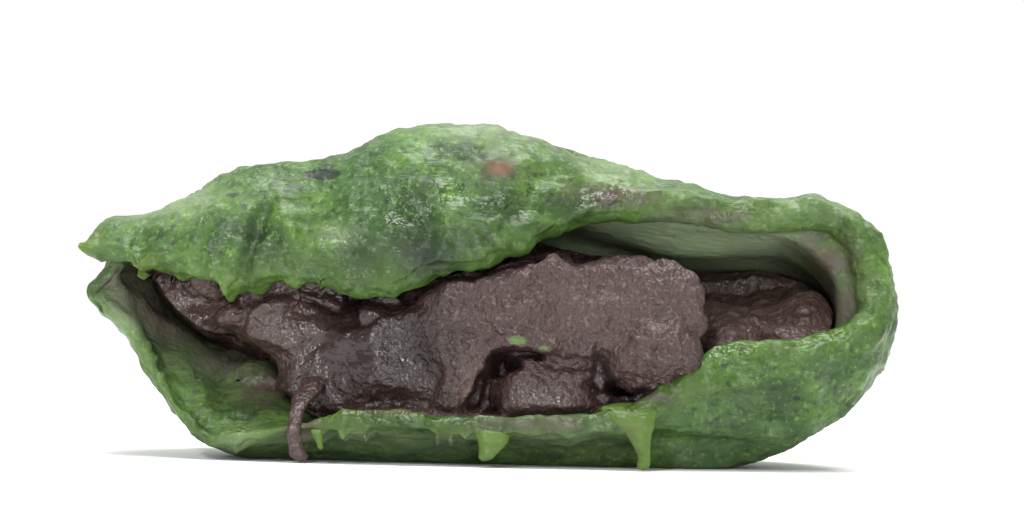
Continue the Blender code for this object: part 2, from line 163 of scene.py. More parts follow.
def at_stations(u, rounded=0.0):
    """A closed Catmull-Rom curve through the stations, or through their averages where it is rounded."""
    low = np.floor(u).astype(int)
    t = (u - low)[..., None]
    averages = STATIONS
    for _ in range(ROUNDING):
        averages = (np.roll(averages, 1, axis=0) + 2 * averages + np.roll(averages, -1, axis=0)) / 4
    values = []
    for table in (STATIONS, averages):
        a, b, c, d = (table[(low + k) % len(table)] for k in (-1, 0, 1, 2))
        cubic = 3 * (b - c) + d - a
        values.append(b + 0.5 * t * (c - a + t * (2 * a - 5 * b + 4 * c - d + t * cubic)))
    exact, average = values
    share = np.asarray(rounded)[..., None]
    return np.moveaxis(exact + (average - exact) * share, -1, 0)


def turn_to_lip(row):
    """The angle the outside turns through up to the lip: a smooth step of the distance between them."""
    reach = np.hypot(row[OUTLINE_X] - row[LIP_X], row[OUTLINE_Z] - row[LIP_Z])
    return LEAST_TURN + (MOST_TURN - LEAST_TURN) * smooth_step(reach / FULL_TURN_REACH)


def plain_oval(outline):
    """Each outline point moved along its ray from the back's middle to a superellipse round it."""
    ray = outline - BACK_MIDDLE
    half_height = np.where(ray[..., 1] > 0, BACK_TOP, BACK_UNDER)
    reach = np.abs(ray[..., 0] / BACK_HALF_WIDTH) ** BACK_FULLNESS
    reach = (reach + np.abs(ray[..., 1] / half_height) ** BACK_FULLNESS) ** (1 / BACK_FULLNESS)
    return BACK_MIDDLE + ray / reach[..., None]


def outside(u, v, rounded=0.0):
    """The undented outside: v is 0 at the round back, 1 at the widest section, 2 at the lip. The back is
    a superellipse in depth, and the front an arc whose sine gives the depth of the lip."""
    row = at_stations(u, rounded)
    outline = np.stack((row[OUTLINE_X], row[OUTLINE_Z]), -1)
    lip = np.stack((row[LIP_X], row[LIP_Z]), -1)
    back_turn = np.clip(v, 0, 1) * np.pi / 2
    outline = plain_oval(outline) + (outline - plain_oval(outline)) * smooth_step(v)[..., None]
    whole_turn = turn_to_lip(row)
    straight = np.clip(v - 1, 0, 1)
    front_turn = straight * whole_turn
    size = np.sin(back_turn) ** (2 / BACK_FULLNESS)
    curl = smooth_step((row[LIP_Z] - LOW_LIP) / (HIGH_LIP - LOW_LIP))
    inward = straight + ((1 - np.cos(front_turn)) / (1 - np.cos(whole_turn)) - straight) * curl
    section = BACK_MIDDLE + (outline - BACK_MIDDLE) * size[..., None]
    across = section + (lip - outline) * (inward * (v > 1))[..., None]
    back = BACK_DEPTH * np.maximum(np.cos(back_turn), 0) ** (2 / BACK_FULLNESS)
    forward = row[LIP_Y] * np.sin(front_turn) / np.sin(whole_turn)
    return np.stack((across[..., 0], np.where(v < 1, back, forward), across[..., 1]), -1)


def directions(u, v, rounded=0.0):
    """Outward normal and onward direction of the outside, from its differences over a small step."""
    step = 0.02
    v = np.clip(v, 2 * step, 2 - step)
    along = outside(u, v + step, rounded) - outside(u, v - step, rounded)
    around = outside(u + step, v, rounded) - outside(u - step, v, rounded)
    return unit(np.cross(along, around)), unit(along)


def thickness(u, points):
    """From the lip's thickness a smooth step in depth leads to the pocket's: more in the roof and round
    the gathered corner, less towards the ends."""
    row = at_stations(u)
    roof = smooth_step((points[..., 2] - WALL_HEIGHT) / (ROOF_HEIGHT - WALL_HEIGHT))
    deep = WALL_THICKNESS + (ROOF_THICKNESS - WALL_THICKNESS) * roof
    deep = deep * (1 - END_THINNING * smooth_step((np.abs(points[..., 0]) - END_X) / END_WIDTH))
    from_gather = np.linalg.norm(points[..., (0, 2)] - GATHER_MIDDLE, axis=-1)
    deep += GATHER_THICKNESS * np.exp(-(from_gather / GATHER_REACH) ** 2)
    inside = smooth_step((points[..., 1] - row[LIP_Y]) / THICKENING_DEPTH)
    return row[LIP_THICKNESS] + (deep - row[LIP_THICKNESS]) * inside


def teeth(x, rows):
    """The sum of bell curves in x, one for each torn point."""
    return sum(
        reach * np.exp(-(np.abs(x - middle) / width) ** TOOTH_POWER) for middle, reach, width in rows
    )


def upper_lip(u):
    """True where u lies on the overhanging lip."""
    return (u % len(STATIONS) > UPPER_STATIONS[0]) & (u % len(STATIONS) < UPPER_STATIONS[1])


def under_lip(u, points, s):
    """1 on the outside below the lower lip, by smooth steps in station, in height and in depth."""
    station = u % len(STATIONS)
    below = smooth_step(station - LIP_STATIONS[0]) * smooth_step(LIP_STATIONS[1] - station)
    below *= smooth_step((UNDERCUT_TOP - points[..., 2]) / UNDERCUT_HEIGHT)
    below *= smooth_step((-points[..., 1] - UNDERCUT_START) / UNDERCUT_REACH)
    return below * (1 - smooth_step((s - 2) / TOOTH_SHARE))


def skin(u, s):
    """s runs 0 to 2 over the outside, 2 to 3 round the lip and 3 to 5 over the inside. Each point lies
    half a thickness from the skin's middle surface, in a direction that turns by pi round the lip."""
    v = np.where(s < 3, np.minimum(s, 2), 5 - s)
    turn = np.clip(s - 2, 0, 1) * np.pi
    rounded = smooth_step((s - 3) / ROUNDING_REACH)
    base = outside(u, v, rounded)
    normal, along = directions(u, v, rounded)
    half = thickness(u, base)[..., None] / 2
    around = np.cos(turn)[..., None] * normal + np.sin(turn)[..., None] * along
    points = base - half * normal + half * around
    share = (1 - np.cos(turn)) / 2
    relief = lumps(base, OUTER_LUMPS, seed=1) * (1 - share) + lumps(base, INNER_LUMPS, seed=5) * share
    points += relief[..., None] * normal
    points += (np.sin(turn) * LIP_LUMPS[1] * noise(base, LIP_LUMPS[0], seed=9))[..., None] * along
    points[..., 1] += UNDERCUT * under_lip(u, points, s)
    from_lip = np.linalg.norm(base - outside(u, np.full(np.shape(s), 2.0)), axis=-1)
    hanging = np.where(upper_lip(u), teeth(base[..., 0], UPPER_TEETH), 0)
    outer = 1 - smooth_step((s - 2) / TOOTH_SHARE)
    jutting = outer * np.where(upper_lip(u), 0, teeth(base[..., 0], LOWER_TEETH))
    jutting *= base[..., 2] < HIGH_LIP
    points[..., 2] -= (hanging + jutting) * np.exp(-(from_lip / TOOTH_REACH) ** 2)
    floor = BASE_THICKNESS * smooth_step((s - 3) / BASE_REACH)
    points[..., 2] = smooth_max(points[..., 2], floor, FLOOR_BLEND)
    return points


# The skin's surface: moist dough with the leaf's fibres in it, pulled into small ridges and pits.
# It is made on a fine grid, crowded at the lip, and the fine relief is added along its own normals.
# The relief is strongest on the stretched outside and fades on the floor and in the pocket.
SKIN_COLUMNS, SKIN_ROWS = 640, 152
DENSE = 200  # samples from which the grid's rows are picked
ROW_SMOOTHING = 12
LIP_CROWDING, CROWDED_S, CROWDING_REACH = 4.0, 2.1, 0.8
FINE_LUMPS = ((1.9, 0.17), (1.0, 0.09), (0.6, 0.05))
PULLED_RIDGES = ((2.6, 0.24), (1.3, 0.15), (0.8, 0.07))
PULL = np.array((0.55, 1.0, 1.0))  # the ridges are drawn out along x
BACK_SHARE = 0.45  # of the relief, on the round back
RAGGED_LIP = ((1.3, 0.30), (0.7, 0.18))
ROOF_FOLDS = (1.7, 0.24)  # height apart and height of the roof's drawn-out folds
ROOF_DRAW = np.array((0.18, 0.5, 1.0))  # how the folds' pattern is stretched along x and y
WALL_LUMPS, WALL_FOLDS = ((3.6, 0.7), (1.8, 0.35)), ((2.4, 0.35), (1.2, 0.2))  # of the left wall
TIP, TIP_REACH, TIP_LENGTH = np.array((-33.4, -3.0, 16.9)), np.array((1.6, 1.4, 0.6)), 0.6
RELIEF_FLOOR = 0.5  # z below which the fine relief fades out
OUTER_END, OUTER_FADE = 2.2, 0.6  # the s at which the outside's relief gives way to the inside's
BACK_Y, BACK_FADE = 2.0, 8.0  # from this y on, over this depth, the relief fades towards the back
LEFT_WALL_X, LEFT_WALL_FADE = -22.0, 8.0  # the left wall ends at this x, over this width
LIP_S, LIP_SPREAD = 2.5, 0.5  # the rim of the lip, which is the most ragged

# Creases in the overhang: start x, z; end x, z; half width, depth
CREASES = (
    (-18.2, 20.5, -20.2, 14.0, 0.6, 0.7),
    (-4.6, 18.5, -6.2, 15.0, 0.8, 0.5),
    (-15.0, 19.5, -14.6, 17.0, 0.6, 0.35),
    (-9.8, 21.0, -6.8, 19.8, 0.5, 0.3),
    (-24.5, 20.0, -25.6, 17.2, 0.6, 0.3),
    (3.0, 21.8, 1.2, 18.5, 0.7, 0.35),
)

DRAWN_IN = 0.2  # keeps the rough surface inside the plain one
# Broad dents of the outside: middle x, y, z; reach along x, y, z; depth
DENTS = (
    (-8.5, -2.0, 27.5, 3.0, 6.0, 3.0, 0.55),
    (0.0, 0.0, 28.5, 4.0, 6.0, 2.0, 0.2),
    (33.5, -1.0, 14.0, 2.0, 6.0, 8.0, 0.2),
)
# Bits of bean stuck to the outside: middle x, y, z; reach along x, y, z; height
BEAN_BITS = (
    (0.6, -5.6, 23.9, 1.2, 2.0, 0.7, 1.0),
    (7.5, -9.0, 3.4, 0.5, 1.0, 0.35, 0.45),
)


def even_columns(count):
    """Values of u with equal lengths of outline and lip between them, half of them over the mouth."""
    u = np.linspace(0, len(STATIONS), DENSE * 8)
    row = at_stations(u)
    lip_z = row[LIP_Z] - np.where(upper_lip(u), teeth(row[LIP_X], UPPER_TEETH), 0)
    curve = np.stack((row[OUTLINE_X], row[OUTLINE_Z], row[LIP_X], row[LIP_Y], lip_z), -1)
    length = np.append(0, np.cumsum(np.linalg.norm(np.diff(curve, axis=0), axis=-1)))
    corner_lengths = np.interp((0, RIGHT_END, len(STATIONS)), u, length)
    places = np.interp(np.arange(count) / count, (0, 0.5, 1), corner_lengths)
    return np.interp(places, length, u)


def even_grid(surface, end, rows, columns, crowding):
    """The u and s of a grid whose rows lie evenly along each profile, in lengths times crowding(s)."""
    u = even_columns(columns)
    s = np.linspace(0, end, DENSE)
    dense = surface(*np.meshgrid(u, s))
    lengths = np.linalg.norm(np.diff(dense, axis=0, prepend=dense[:1]), axis=-1)
    length = np.cumsum(lengths * crowding(s)[:, None], axis=0)
    even = np.linspace(0, 1, rows)
    picked = np.stack([np.interp(even * column[-1], column, s) for column in length.T], 1)
    for _ in range(ROW_SMOOTHING):
        picked = (np.roll(picked, 1, axis=1) + 2 * picked + np.roll(picked, -1, axis=1)) / 4
    return np.broadcast_to(u, (rows, columns)), picked


def grid_normals(grid):
    """Unit cross product of the grid's differences along its columns and round its rows."""
    along = np.gradient(grid, axis=0)
    around = np.roll(grid, -1, axis=1) - np.roll(grid, 1, axis=1)
    return unit(np.cross(along, around))


def ridges(points, layers, seed):
    """The sum of folded noises, a half less twice the noise's size, which makes sharp crests."""
    return sum(
        height * (0.5 - 2 * np.abs(noise(points, size, seed + i)))
        for i, (size, height) in enumerate(layers)
    )


def from_line(points, start_x, start_z, end_x, end_z):
    """Distance in x and z from each point to the straight line between two others."""
    start, run = np.array((start_x, start_z)), np.array((end_x - start_x, end_z - start_z))
    flat = points[..., (0, 2)] - start
    share = np.clip(flat @ run / (run @ run), 0, 1)
    return np.linalg.norm(flat - share[..., None] * run, axis=-1)


def spots(points, rows):
    """The largest of bell-shaped spots: middle x, y, z; reach along x, y, z; strength."""
    total = np.zeros(points.shape[:-1])
    for row in rows:
        away = (points - np.array(row[:3])) / np.array(row[3:6])
        total = np.maximum(total, row[6] * np.exp(-(away ** 2).sum(axis=-1)))
    return total


def closed_mesh(name, rings, midline=False):
    """One closed mesh through rings of points: quads between rings and a fan at each pole. With a
    midline the last ring is a line whose two halves share their points."""
    rows, count = rings.shape[:2]
    body = rings[1:-1].reshape(-1, 3)
    index = np.arange(len(body)).reshape(rows - 2, count)
    first = len(body)
    if midline:
        half = count // 2 + 1
        shared = np.minimum(np.arange(count), count - np.arange(count)) + first + 1
        index = np.vstack((index, shared))
        points = np.vstack((body, rings[0].mean(axis=0), rings[-1][:half]))
    else:
        points = np.vstack((body, rings[0].mean(axis=0), rings[-1].mean(axis=0)))
    low, high = index[:-1], index[1:]
    quads = np.stack((np.roll(low, 1, 1), low, high, np.roll(high, 1, 1)), -1).reshape(-1, 4)
    fans = [np.stack((np.full(count, first), index[0], np.roll(index[0], 1)), -1)]
    if not midline:
        fans.append(np.stack((np.full(count, first + 1), np.roll(index[-1], 1), index[-1]), -1))
    mesh = bpy.data.meshes.new(name)
    mesh.from_pydata((points * MM).tolist(), [], quads.tolist() + np.vstack(fans).tolist())
    mesh.validate()
    mesh.shade_smooth()
    return mesh


def store(mesh, name, rings, midline=False):
    """Keeps one value for each point of a closed mesh, such as how stained the dough is there."""
    last = rings[-1][: rings.shape[1] // 2 + 1] if midline else [rings[-1].mean()]
    values = np.concatenate((rings[1:-1].ravel(), [rings[0].mean()], last))
    mesh.attributes.new(name, "FLOAT", "POINT").data.foreach_set("value", values.astype(np.float32))


def placed(name, mesh, material, node):
    """An object at the origin that rides on the one body, with the CAD part of the node it stands for
    hidden.
    """
    mesh.materials.append(material)
    piece = bpy.data.objects.new(name, mesh)
    bpy.context.scene.collection.objects.link(piece)
    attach(piece, "root")
    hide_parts(node)


skin_u, skin_s = even_grid(
    skin, 5, SKIN_ROWS, SKIN_COLUMNS,
    lambda s: 1 + LIP_CROWDING * np.exp(-((s - CROWDED_S) / CROWDING_REACH) ** 2),
)
plain_skin = skin(skin_u, skin_s)
node_low, node_high = (np.array(corner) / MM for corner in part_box("skin"))
middle = (plain_skin.min(axis=(0, 1)) + plain_skin.max(axis=(0, 1)) - node_low - node_high) / 2
middle[2] = 0
skin_normals = grid_normals(plain_skin)
from_middle = plain_skin[SKIN_ROWS // 4] - plain_skin.mean(axis=(0, 1))
if (skin_normals[SKIN_ROWS // 4] * from_middle).sum() < 0:  # on the outside they point away from it
    skin_normals = -skin_normals
outer_share = 1 - smooth_step((skin_s - OUTER_END) / OUTER_FADE)
outer_relief = lumps(plain_skin, FINE_LUMPS, seed=21) - DRAWN_IN - spots(plain_skin, DENTS)
outer_relief += ridges(plain_skin * PULL, PULLED_RIDGES, seed=31)
outer_relief *= 1 - (1 - BACK_SHARE) * smooth_step((plain_skin[..., 1] - BACK_Y) / BACK_FADE)
on_left_wall = 1 - smooth_step((plain_skin[..., 0] - LEFT_WALL_X) / LEFT_WALL_FADE)
for start_x, start_z, end_x, end_z, width, depth in CREASES:
    away = from_line(plain_skin, start_x, start_z, end_x, end_z)
    outer_relief -= depth * np.exp(-(away / width) ** 2) * (plain_skin[..., 1] < BACK_Y)
roof_folds = ROOF_FOLDS[1] * noise(plain_skin * ROOF_DRAW, ROOF_FOLDS[0], seed=41)
wall_folds = lumps(plain_skin, WALL_LUMPS, seed=47) + ridges(plain_skin, WALL_FOLDS, seed=49)
inner_relief = roof_folds * (1 - on_left_wall)
inner_relief += on_left_wall * wall_folds
inner_relief += lumps(plain_skin, FINE_LUMPS, seed=45) / 2
at_lip = np.exp(-((skin_s - LIP_S) / LIP_SPREAD) ** 2)
skin_relief = outer_relief * outer_share + inner_relief * (1 - outer_share)
skin_relief += at_lip * lumps(plain_skin, RAGGED_LIP, seed=51)
skin_relief += spots(plain_skin, BEAN_BITS)
skin_relief *= smooth_step(plain_skin[..., 2] / RELIEF_FLOOR)
skin_rings = plain_skin + skin_relief[..., None] * skin_normals
skin_rings[..., 2] = np.maximum(skin_rings[..., 2], 0)
skin_rings[..., 0] -= TIP_LENGTH * np.exp(-(((plain_skin - TIP) / TIP_REACH) ** 2).sum(axis=-1))
skin_mesh = closed_mesh("dough_skin", skin_rings - middle)

# What colours the dough, in spots that each give a middle x, y, z, a reach along x, y, z and a
# strength. First come the smears of bean paste that the tear left on the outside and the lips.
SMEARS = (
    (4.5, -9.2, 3.6, 4.4, 3.0, 0.9, 0.6),  # over the lower lip
    (-14.6, -8.0, 3.0, 1.3, 3.0, 2.5, 0.9),  # round the paste's strand
    (9.6, -3.8, 22.2, 3.2, 2.5, 0.9, 0.95),  # on the rim over the lump
    (0.6, -5.6, 23.9, 2.4, 2.0, 1.3, 0.5),  # round the bean bit
    (18.0, -3.3, 20.6, 3.6, 2.0, 0.9, 0.7),
    (-7.0, -8.8, 4.3, 5.0, 1.6, 0.5, 0.5),  # along the lower lip's top
    (13.0, -8.6, 5.8, 2.4, 1.6, 0.5, 0.4),
)
# Paste that stuck to the pocket's inside, and shows there alone
INNER_SMEARS = (
    (28.0, 0.0, 17.5, 6.0, 6.0, 2.4, 0.8),  # in the roof's right end
    (26.0, 4.0, 14.0, 9.0, 7.0, 3.0, 0.9),
    (28.8, 1.0, 14.0, 2.6, 5.0, 5.0, 1.0),
    (-31.0, -0.5, 14.4, 2.8, 4.0, 1.8, 0.7),  # on the left wall
    (-29.0, 0.5, 13.0, 3.4, 4.5, 2.6, 1.2),
    (-27.0, 3.0, 11.8, 5.0, 6.0, 2.8, 1.3),
    (-22.0, 4.0, 8.6, 3.6, 6.0, 2.2, 1.1),
    (-18.0, 0.0, 5.8, 3.0, 6.0, 2.0, 0.85),
)
# The bright yellow green of the lips, where they are thin enough to let light through
THIN_LIPS = (
    (-33.2, -3.0, 17.4, 2.0, 3.0, 1.6, 1.0),  # the left tip
    (-27.6, -4.6, 14.6, 1.6, 3.0, 1.8, 0.9),
    (-21.3, -6.2, 13.6, 2.0, 3.0, 1.8, 0.9),
    (-8.6, -7.6, 15.2, 3.4, 3.0, 1.8, 0.7),  # the overhang's lobe
    (-14.0, -7.4, 16.0, 5.0, 3.0, 1.2, 0.5),
    (-18.6, -7.0, 1.8, 2.0, 3.0, 1.4, 0.9),  # low on the left
    (-11.4, -9.0, 3.4, 3.2, 2.0, 1.1, 0.9),  # the lower lip
    (-2.6, -9.0, 2.6, 1.8, 2.0, 0.8, 0.8),
    (0.3, -9.0, 1.4, 1.3, 2.0, 1.4, 1.0),
    (12.6, -9.0, 3.4, 1.8, 2.0, 3.0, 1.0),
    (16.0, -8.0, 7.0, 3.0, 2.0, 1.6, 0.6),
    (22.0, -7.2, 10.0, 4.0, 2.0, 1.2, 0.6),
    (28.5, -5.4, 12.0, 3.6, 2.0, 1.6, 0.5),
    (32.0, -3.0, 17.0, 2.4, 3.0, 5.0, 0.35),
)
# Dark bits of mugwort leaf that weren't pounded fine
LEAF_BITS = (
    (-13.9, -3.9, 23.4, 1.4, 1.5, 0.45, 1.6),
    (-21.0, -4.6, 21.4, 0.8, 1.5, 0.25, 0.7),
    (6.4, -5.4, 22.6, 0.6, 1.5, 0.25, 0.6),
    (25.0, -5.4, 6.0, 0.5, 1.5, 0.3, 0.7),
)
# Films of syrup and steam that shine
WET_FILMS = (
    (-12.2, -7.2, 17.9, 2.2, 3.0, 1.2, 1.0),
    (-23.4, -5.0, 19.8, 1.8, 3.0, 1.0, 0.9),
    (-2.6, -6.5, 21.8, 2.0, 3.0, 1.2, 0.7),
    (-7.2, -7.0, 19.8, 2.4, 3.0, 2.0, 0.8),
    (-8.0, -9.0, 4.0, 7.5, 2.0, 0.8, 1.0),  # along the lower lip's top edge
    (10.0, -8.8, 5.0, 4.0, 2.0, 1.0, 0.8),
    (20.0, -8.0, 9.4, 4.5, 2.5, 1.4, 1.0),  # along the right lower lip
    (27.0, -6.0, 11.8, 3.5, 2.5, 1.4, 0.9),
    (9.0, -3.8, 22.0, 3.6, 3.0, 1.2, 0.9),  # on the rim
    (19.0, -3.2, 20.8, 3.0, 2.5, 0.9, 0.6),
    (1.5, -7.0, 21.0, 5.0, 3.0, 2.0, 0.5),
    (-19.5, -6.6, 2.4, 2.0, 3.0, 1.2, 0.8),
)
# Painted shade: deeper green where less light reaches, beside and over the lobe, in the crease, on the
# lower lip and low down
PAINTED_SHADES = (
    (-5.0, -8.0, 16.8, 3.6, 3.0, 2.6, 1.0),  # right of the lobe
    (-19.2, -6.0, 16.8, 0.9, 3.0, 3.2, 0.7),  # along the crease
    (-14.6, -7.0, 15.6, 3.0, 3.0, 1.2, 0.5),
    (-25.0, 3.0, 8.0, 5.5, 8.0, 5.0, 0.2),  # the left wall
    (2.0, -7.0, 20.0, 4.0, 3.0, 1.6, 0.5),
    (6.0, -5.0, 21.0, 3.0, 3.0, 1.2, 0.6),
    (-9.6, -7.6, 16.6, 5.5, 3.0, 3.4, 0.55),  # over the lobe
    (-2.0, -8.0, 18.2, 3.0, 3.0, 1.6, 0.7),
    (-6.0, -9.4, 3.2, 9.0, 2.0, 0.9, 0.5),  # on the lower lip
    (20.0, -7.0, 5.0, 8.0, 3.0, 3.0, 0.45),  # low on the right
)
# Starch that was dusted on before the dough was closed, and partly rubbed off; the same pale spots are
# also painted sheen where the crown, the shoulders and the edges catch the light, and painted light on
# the shaded left wall
STARCH_AND_PAINTED_SHEEN = (
    (1.0, -1.0, 28.2, 8.0, 6.0, 2.0, 0.45),  # the crown
    (12.0, 0.0, 25.0, 6.0, 5.0, 2.0, 0.4),
    (27.5, -0.5, 23.0, 5.0, 5.0, 2.0, 0.35),  # right shoulder
    (-26.0, -1.0, 20.8, 6.0, 5.0, 2.0, 0.45),
    (-12.2, -7.2, 18.1, 1.6, 3.0, 0.9, 0.4),  # over the lobe
    (-29.4, -1.4, 11.6, 2.0, 3.0, 2.4, 0.5),  # the left wall's edge
    (-25.0, 2.0, 7.0, 5.0, 8.0, 4.0, 0.22),
    (-19.5, -7.2, 2.0, 2.0, 3.0, 1.2, 0.3),  # low on the left
)
DEEP_STAIN, STAIN_Y, STAIN_FADE = 0.55, 2.0, 6.0  # inside, from this y on, over this depth
INNER_START, INNER_FADE = 2.4, 0.6  # the s from which the inside's own smears show
THIN_EDGE = 0.3  # of the whole torn edge
UNDER_LIP_PAINTED_SHADE, UNDER_LIP_PAINTED_LIGHT = 0.5, 0.25  # painted shade, and painted light that turns it paler grey, below the lower lip
FOOT_PAINTED_SHADE, FOOT_HEIGHT = 0.3, 3.0  # painted shade round the foot, up to this height
PAINTED_ROOF_LIGHT_START = 2.6  # the s from which painted light makes the shaded roof's inside paler
ROOF_Z, ROOF_FADE = 15.0, 4.0  # from this height up, over this much more
ROOF_END, ROOF_END_FADE = 22.0, 6.0  # and between x = 0 and this x, with softened ends

stain = spots(skin_rings, SMEARS)
deep_inside = smooth_step(skin_s - 3) * smooth_step((skin_rings[..., 1] - STAIN_Y) / STAIN_FADE)
stain = np.maximum(stain, DEEP_STAIN * deep_inside)
inner_smears = spots(skin_rings, INNER_SMEARS) * smooth_step((skin_s - INNER_START) / INNER_FADE)
store(skin_mesh, "stain", np.maximum(stain, inner_smears))
store(skin_mesh, "thin", np.maximum(spots(skin_rings, THIN_LIPS), THIN_EDGE * at_lip))
store(skin_mesh, "leaf", spots(skin_rings, LEAF_BITS))
store(skin_mesh, "bean", spots(skin_rings, BEAN_BITS))
store(skin_mesh, "wet", spots(skin_rings, WET_FILMS))
below_lip = under_lip(skin_u, skin_rings, skin_s)
# Painted shade: darker green in the listed spots, below the lower lip and round the foot
painted_shade = np.maximum(spots(skin_rings, PAINTED_SHADES), UNDER_LIP_PAINTED_SHADE * below_lip)
painted_foot_shade = FOOT_PAINTED_SHADE * outer_share * smooth_step((FOOT_HEIGHT - skin_rings[..., 2]) / FOOT_HEIGHT)
store(skin_mesh, "painted_shade", np.maximum(painted_shade, painted_foot_shade))
# Painted light: the shaded roof's inside and the space under the lower lip made paler grey green, with
# the starch
painted_roof_light = smooth_step(skin_s - PAINTED_ROOF_LIGHT_START) * smooth_step((skin_rings[..., 2] - ROOF_Z) / ROOF_FADE)
painted_roof_light *= smooth_step(skin_rings[..., 0] / ROOF_END_FADE)
painted_roof_light *= 1 - smooth_step((skin_rings[..., 0] - ROOF_END) / ROOF_END_FADE)
starch_and_painted_light = np.maximum(spots(skin_rings, STARCH_AND_PAINTED_SHEEN), UNDER_LIP_PAINTED_LIGHT * below_lip)
store(skin_mesh, "starch", np.maximum(painted_roof_light, starch_and_painted_light))


def colour(hex_code):
    """An sRGB hex colour as linear light: each channel over 255, raised by the sRGB curve."""
    channels = np.array([int(hex_code[i : i + 2], 16) for i in (0, 2, 4)]) / 255
    linear = np.where(channels > 0.04045, ((channels + 0.055) / 1.055) ** 2.4, channels / 12.92)
    return (*linear.tolist(), 1.0)


def add(tree, kind, sockets, **settings):
    """Adds a node with its settings, and gives each named socket its value or its link."""
    node = tree.nodes.new(kind)
    for name, value in settings.items():
        setattr(node, name, value)
    for socket, value in sockets.items():
        if isinstance(value, bpy.types.NodeSocket):
            tree.links.new(value, node.inputs[socket])
        else:
            node.inputs[socket].default_value = value
    return node


def new_material(name):
    """A new material and its node tree, empty so that every node in it is added here."""
    material = bpy.data.materials.new(name)
    material.use_nodes = True
    tree = material.node_tree
    tree.nodes.clear()
    return material, tree


# Rice dough pounded with mugwort, steamed: a moist, slightly clear starch gel. The leaf gives it a
# mottled green with dark fibres and flecks, and its wet skin gives soft highlights and small glints.
dough, tree = new_material("steamed_mugwort_dough")
place = add(tree, "ShaderNodeTexCoord", {}).outputs["Object"]
MIX_A, MIX_B, MIX_RESULT = 6, 7, 2  # the colour sockets of a Mix node
NUMBER_A, NUMBER_B = 2, 3  # and its number sockets
# Mottling about 3 mm across, where more or less leaf was kneaded in
mottle = add(tree, "ShaderNodeTexNoise", {
    "Vector": place, "Scale": 1 / (3.4 * MM), "Detail": 5.0, "Roughness": 0.62,
})
mottle = add(tree, "ShaderNodeMapRange", {
    "Value": mottle.outputs["Fac"], "From Min": 0.36, "From Max": 0.64,
})
green = add(tree, "ShaderNodeMix", {
    0: mottle.outputs["Result"], MIX_A: colour("213c16"), MIX_B: colour("53752d"),
}, data_type="RGBA")
# Cooler, bluer green in patches of 7 mm
cool = add(tree, "ShaderNodeTexNoise", {"Vector": place, "Scale": 1 / (7.0 * MM), "Detail": 2.0})
cool = add(tree, "ShaderNodeMapRange", {
    "Value": cool.outputs["Fac"], "From Min": 0.48, "From Max": 0.68, "To Max": 0.5,
})
green = add(tree, "ShaderNodeMix", {
    0: cool.outputs["Result"], MIX_A: green.outputs[MIX_RESULT], MIX_B: colour("2b4a33"),
}, data_type="RGBA")
# Fibres of the leaf, half a millimetre thick, that kneading drew out along the cake
fibres = add(tree, "ShaderNodeMapping", {
    "Vector": place, "Rotation": (0.0, 0.3, 0.0), "Scale": (0.3, 1.0, 1.0),
})
fibres = add(tree, "ShaderNodeTexNoise", {
    "Vector": fibres.outputs["Vector"], "Scale": 1 / (0.55 * MM), "Detail": 3.0, "Roughness": 0.6,
})
drawn_out = add(tree, "ShaderNodeMapRange", {
    "Value": fibres.outputs["Fac"], "From Min": 0.48, "From Max": 0.62, "To Max": 0.55,
})
green = add(tree, "ShaderNodeMix", {
    0: drawn_out.outputs["Result"], MIX_A: green.outputs[MIX_RESULT], MIX_B: colour("264318"),
}, data_type="RGBA")
# Dark flecks of leaf under a millimetre across
fleck = add(tree, "ShaderNodeTexNoise", {
    "Vector": place, "Scale": 1 / (0.8 * MM), "Detail": 4.0, "Roughness": 0.65,
})
dark_fleck = add(tree, "ShaderNodeMapRange", {
    "Value": fleck.outputs["Fac"], "From Min": 0.54, "From Max": 0.66, "To Max": 0.75,
})
green = add(tree, "ShaderNodeMix", {
    0: dark_fleck.outputs["Result"], MIX_A: green.outputs[MIX_RESULT], MIX_B: colour("16240f"),
}, data_type="RGBA")
# Pale specks of starch, drawn as coarse as half a millimetre so that they show
starch = add(tree, "ShaderNodeTexNoise", {
    "Vector": place, "Scale": 1 / (0.45 * MM), "Detail": 3.0, "Roughness": 0.6,
})
starch = add(tree, "ShaderNodeMapRange", {
    "Value": starch.outputs["Fac"], "From Min": 0.56, "From Max": 0.68, "To Max": 0.5,
})
green = add(tree, "ShaderNodeMix", {
    0: starch.outputs["Result"], MIX_A: green.outputs[MIX_RESULT], MIX_B: colour("7a9458"),
}, data_type="RGBA")
# Yellow green where it is thin, and painted shade, a deep green, where less light reaches
for attribute, tint in (("thin", "4c6424"), ("painted_shade", "1e2e1b")):
    spread = add(tree, "ShaderNodeAttribute", {}, attribute_name=attribute)
    green = add(tree, "ShaderNodeMix", {
        0: spread.outputs["Fac"], MIX_A: green.outputs[MIX_RESULT], MIX_B: colour(tint),
    }, data_type="RGBA")
# Bean paste rubbed into it, uneven over a millimetre or two
stained = add(tree, "ShaderNodeAttribute", {}, attribute_name="stain")
patchy = add(tree, "ShaderNodeTexNoise", {"Vector": place, "Scale": 1 / (1.6 * MM), "Detail": 4.0})
patchy = add(tree, "ShaderNodeMapRange", {
    "Value": patchy.outputs["Fac"], "From Min": 0.3, "From Max": 0.6, "To Min": 0.5, "To Max": 1.3,
})
stained = add(tree, "ShaderNodeMath", {
    0: stained.outputs["Fac"], 1: patchy.outputs["Result"],
}, operation="MULTIPLY", use_clamp=True)
green = add(tree, "ShaderNodeMix", {
    0: stained.outputs["Value"], MIX_A: green.outputs[MIX_RESULT], MIX_B: colour("514440"),
}, data_type="RGBA")
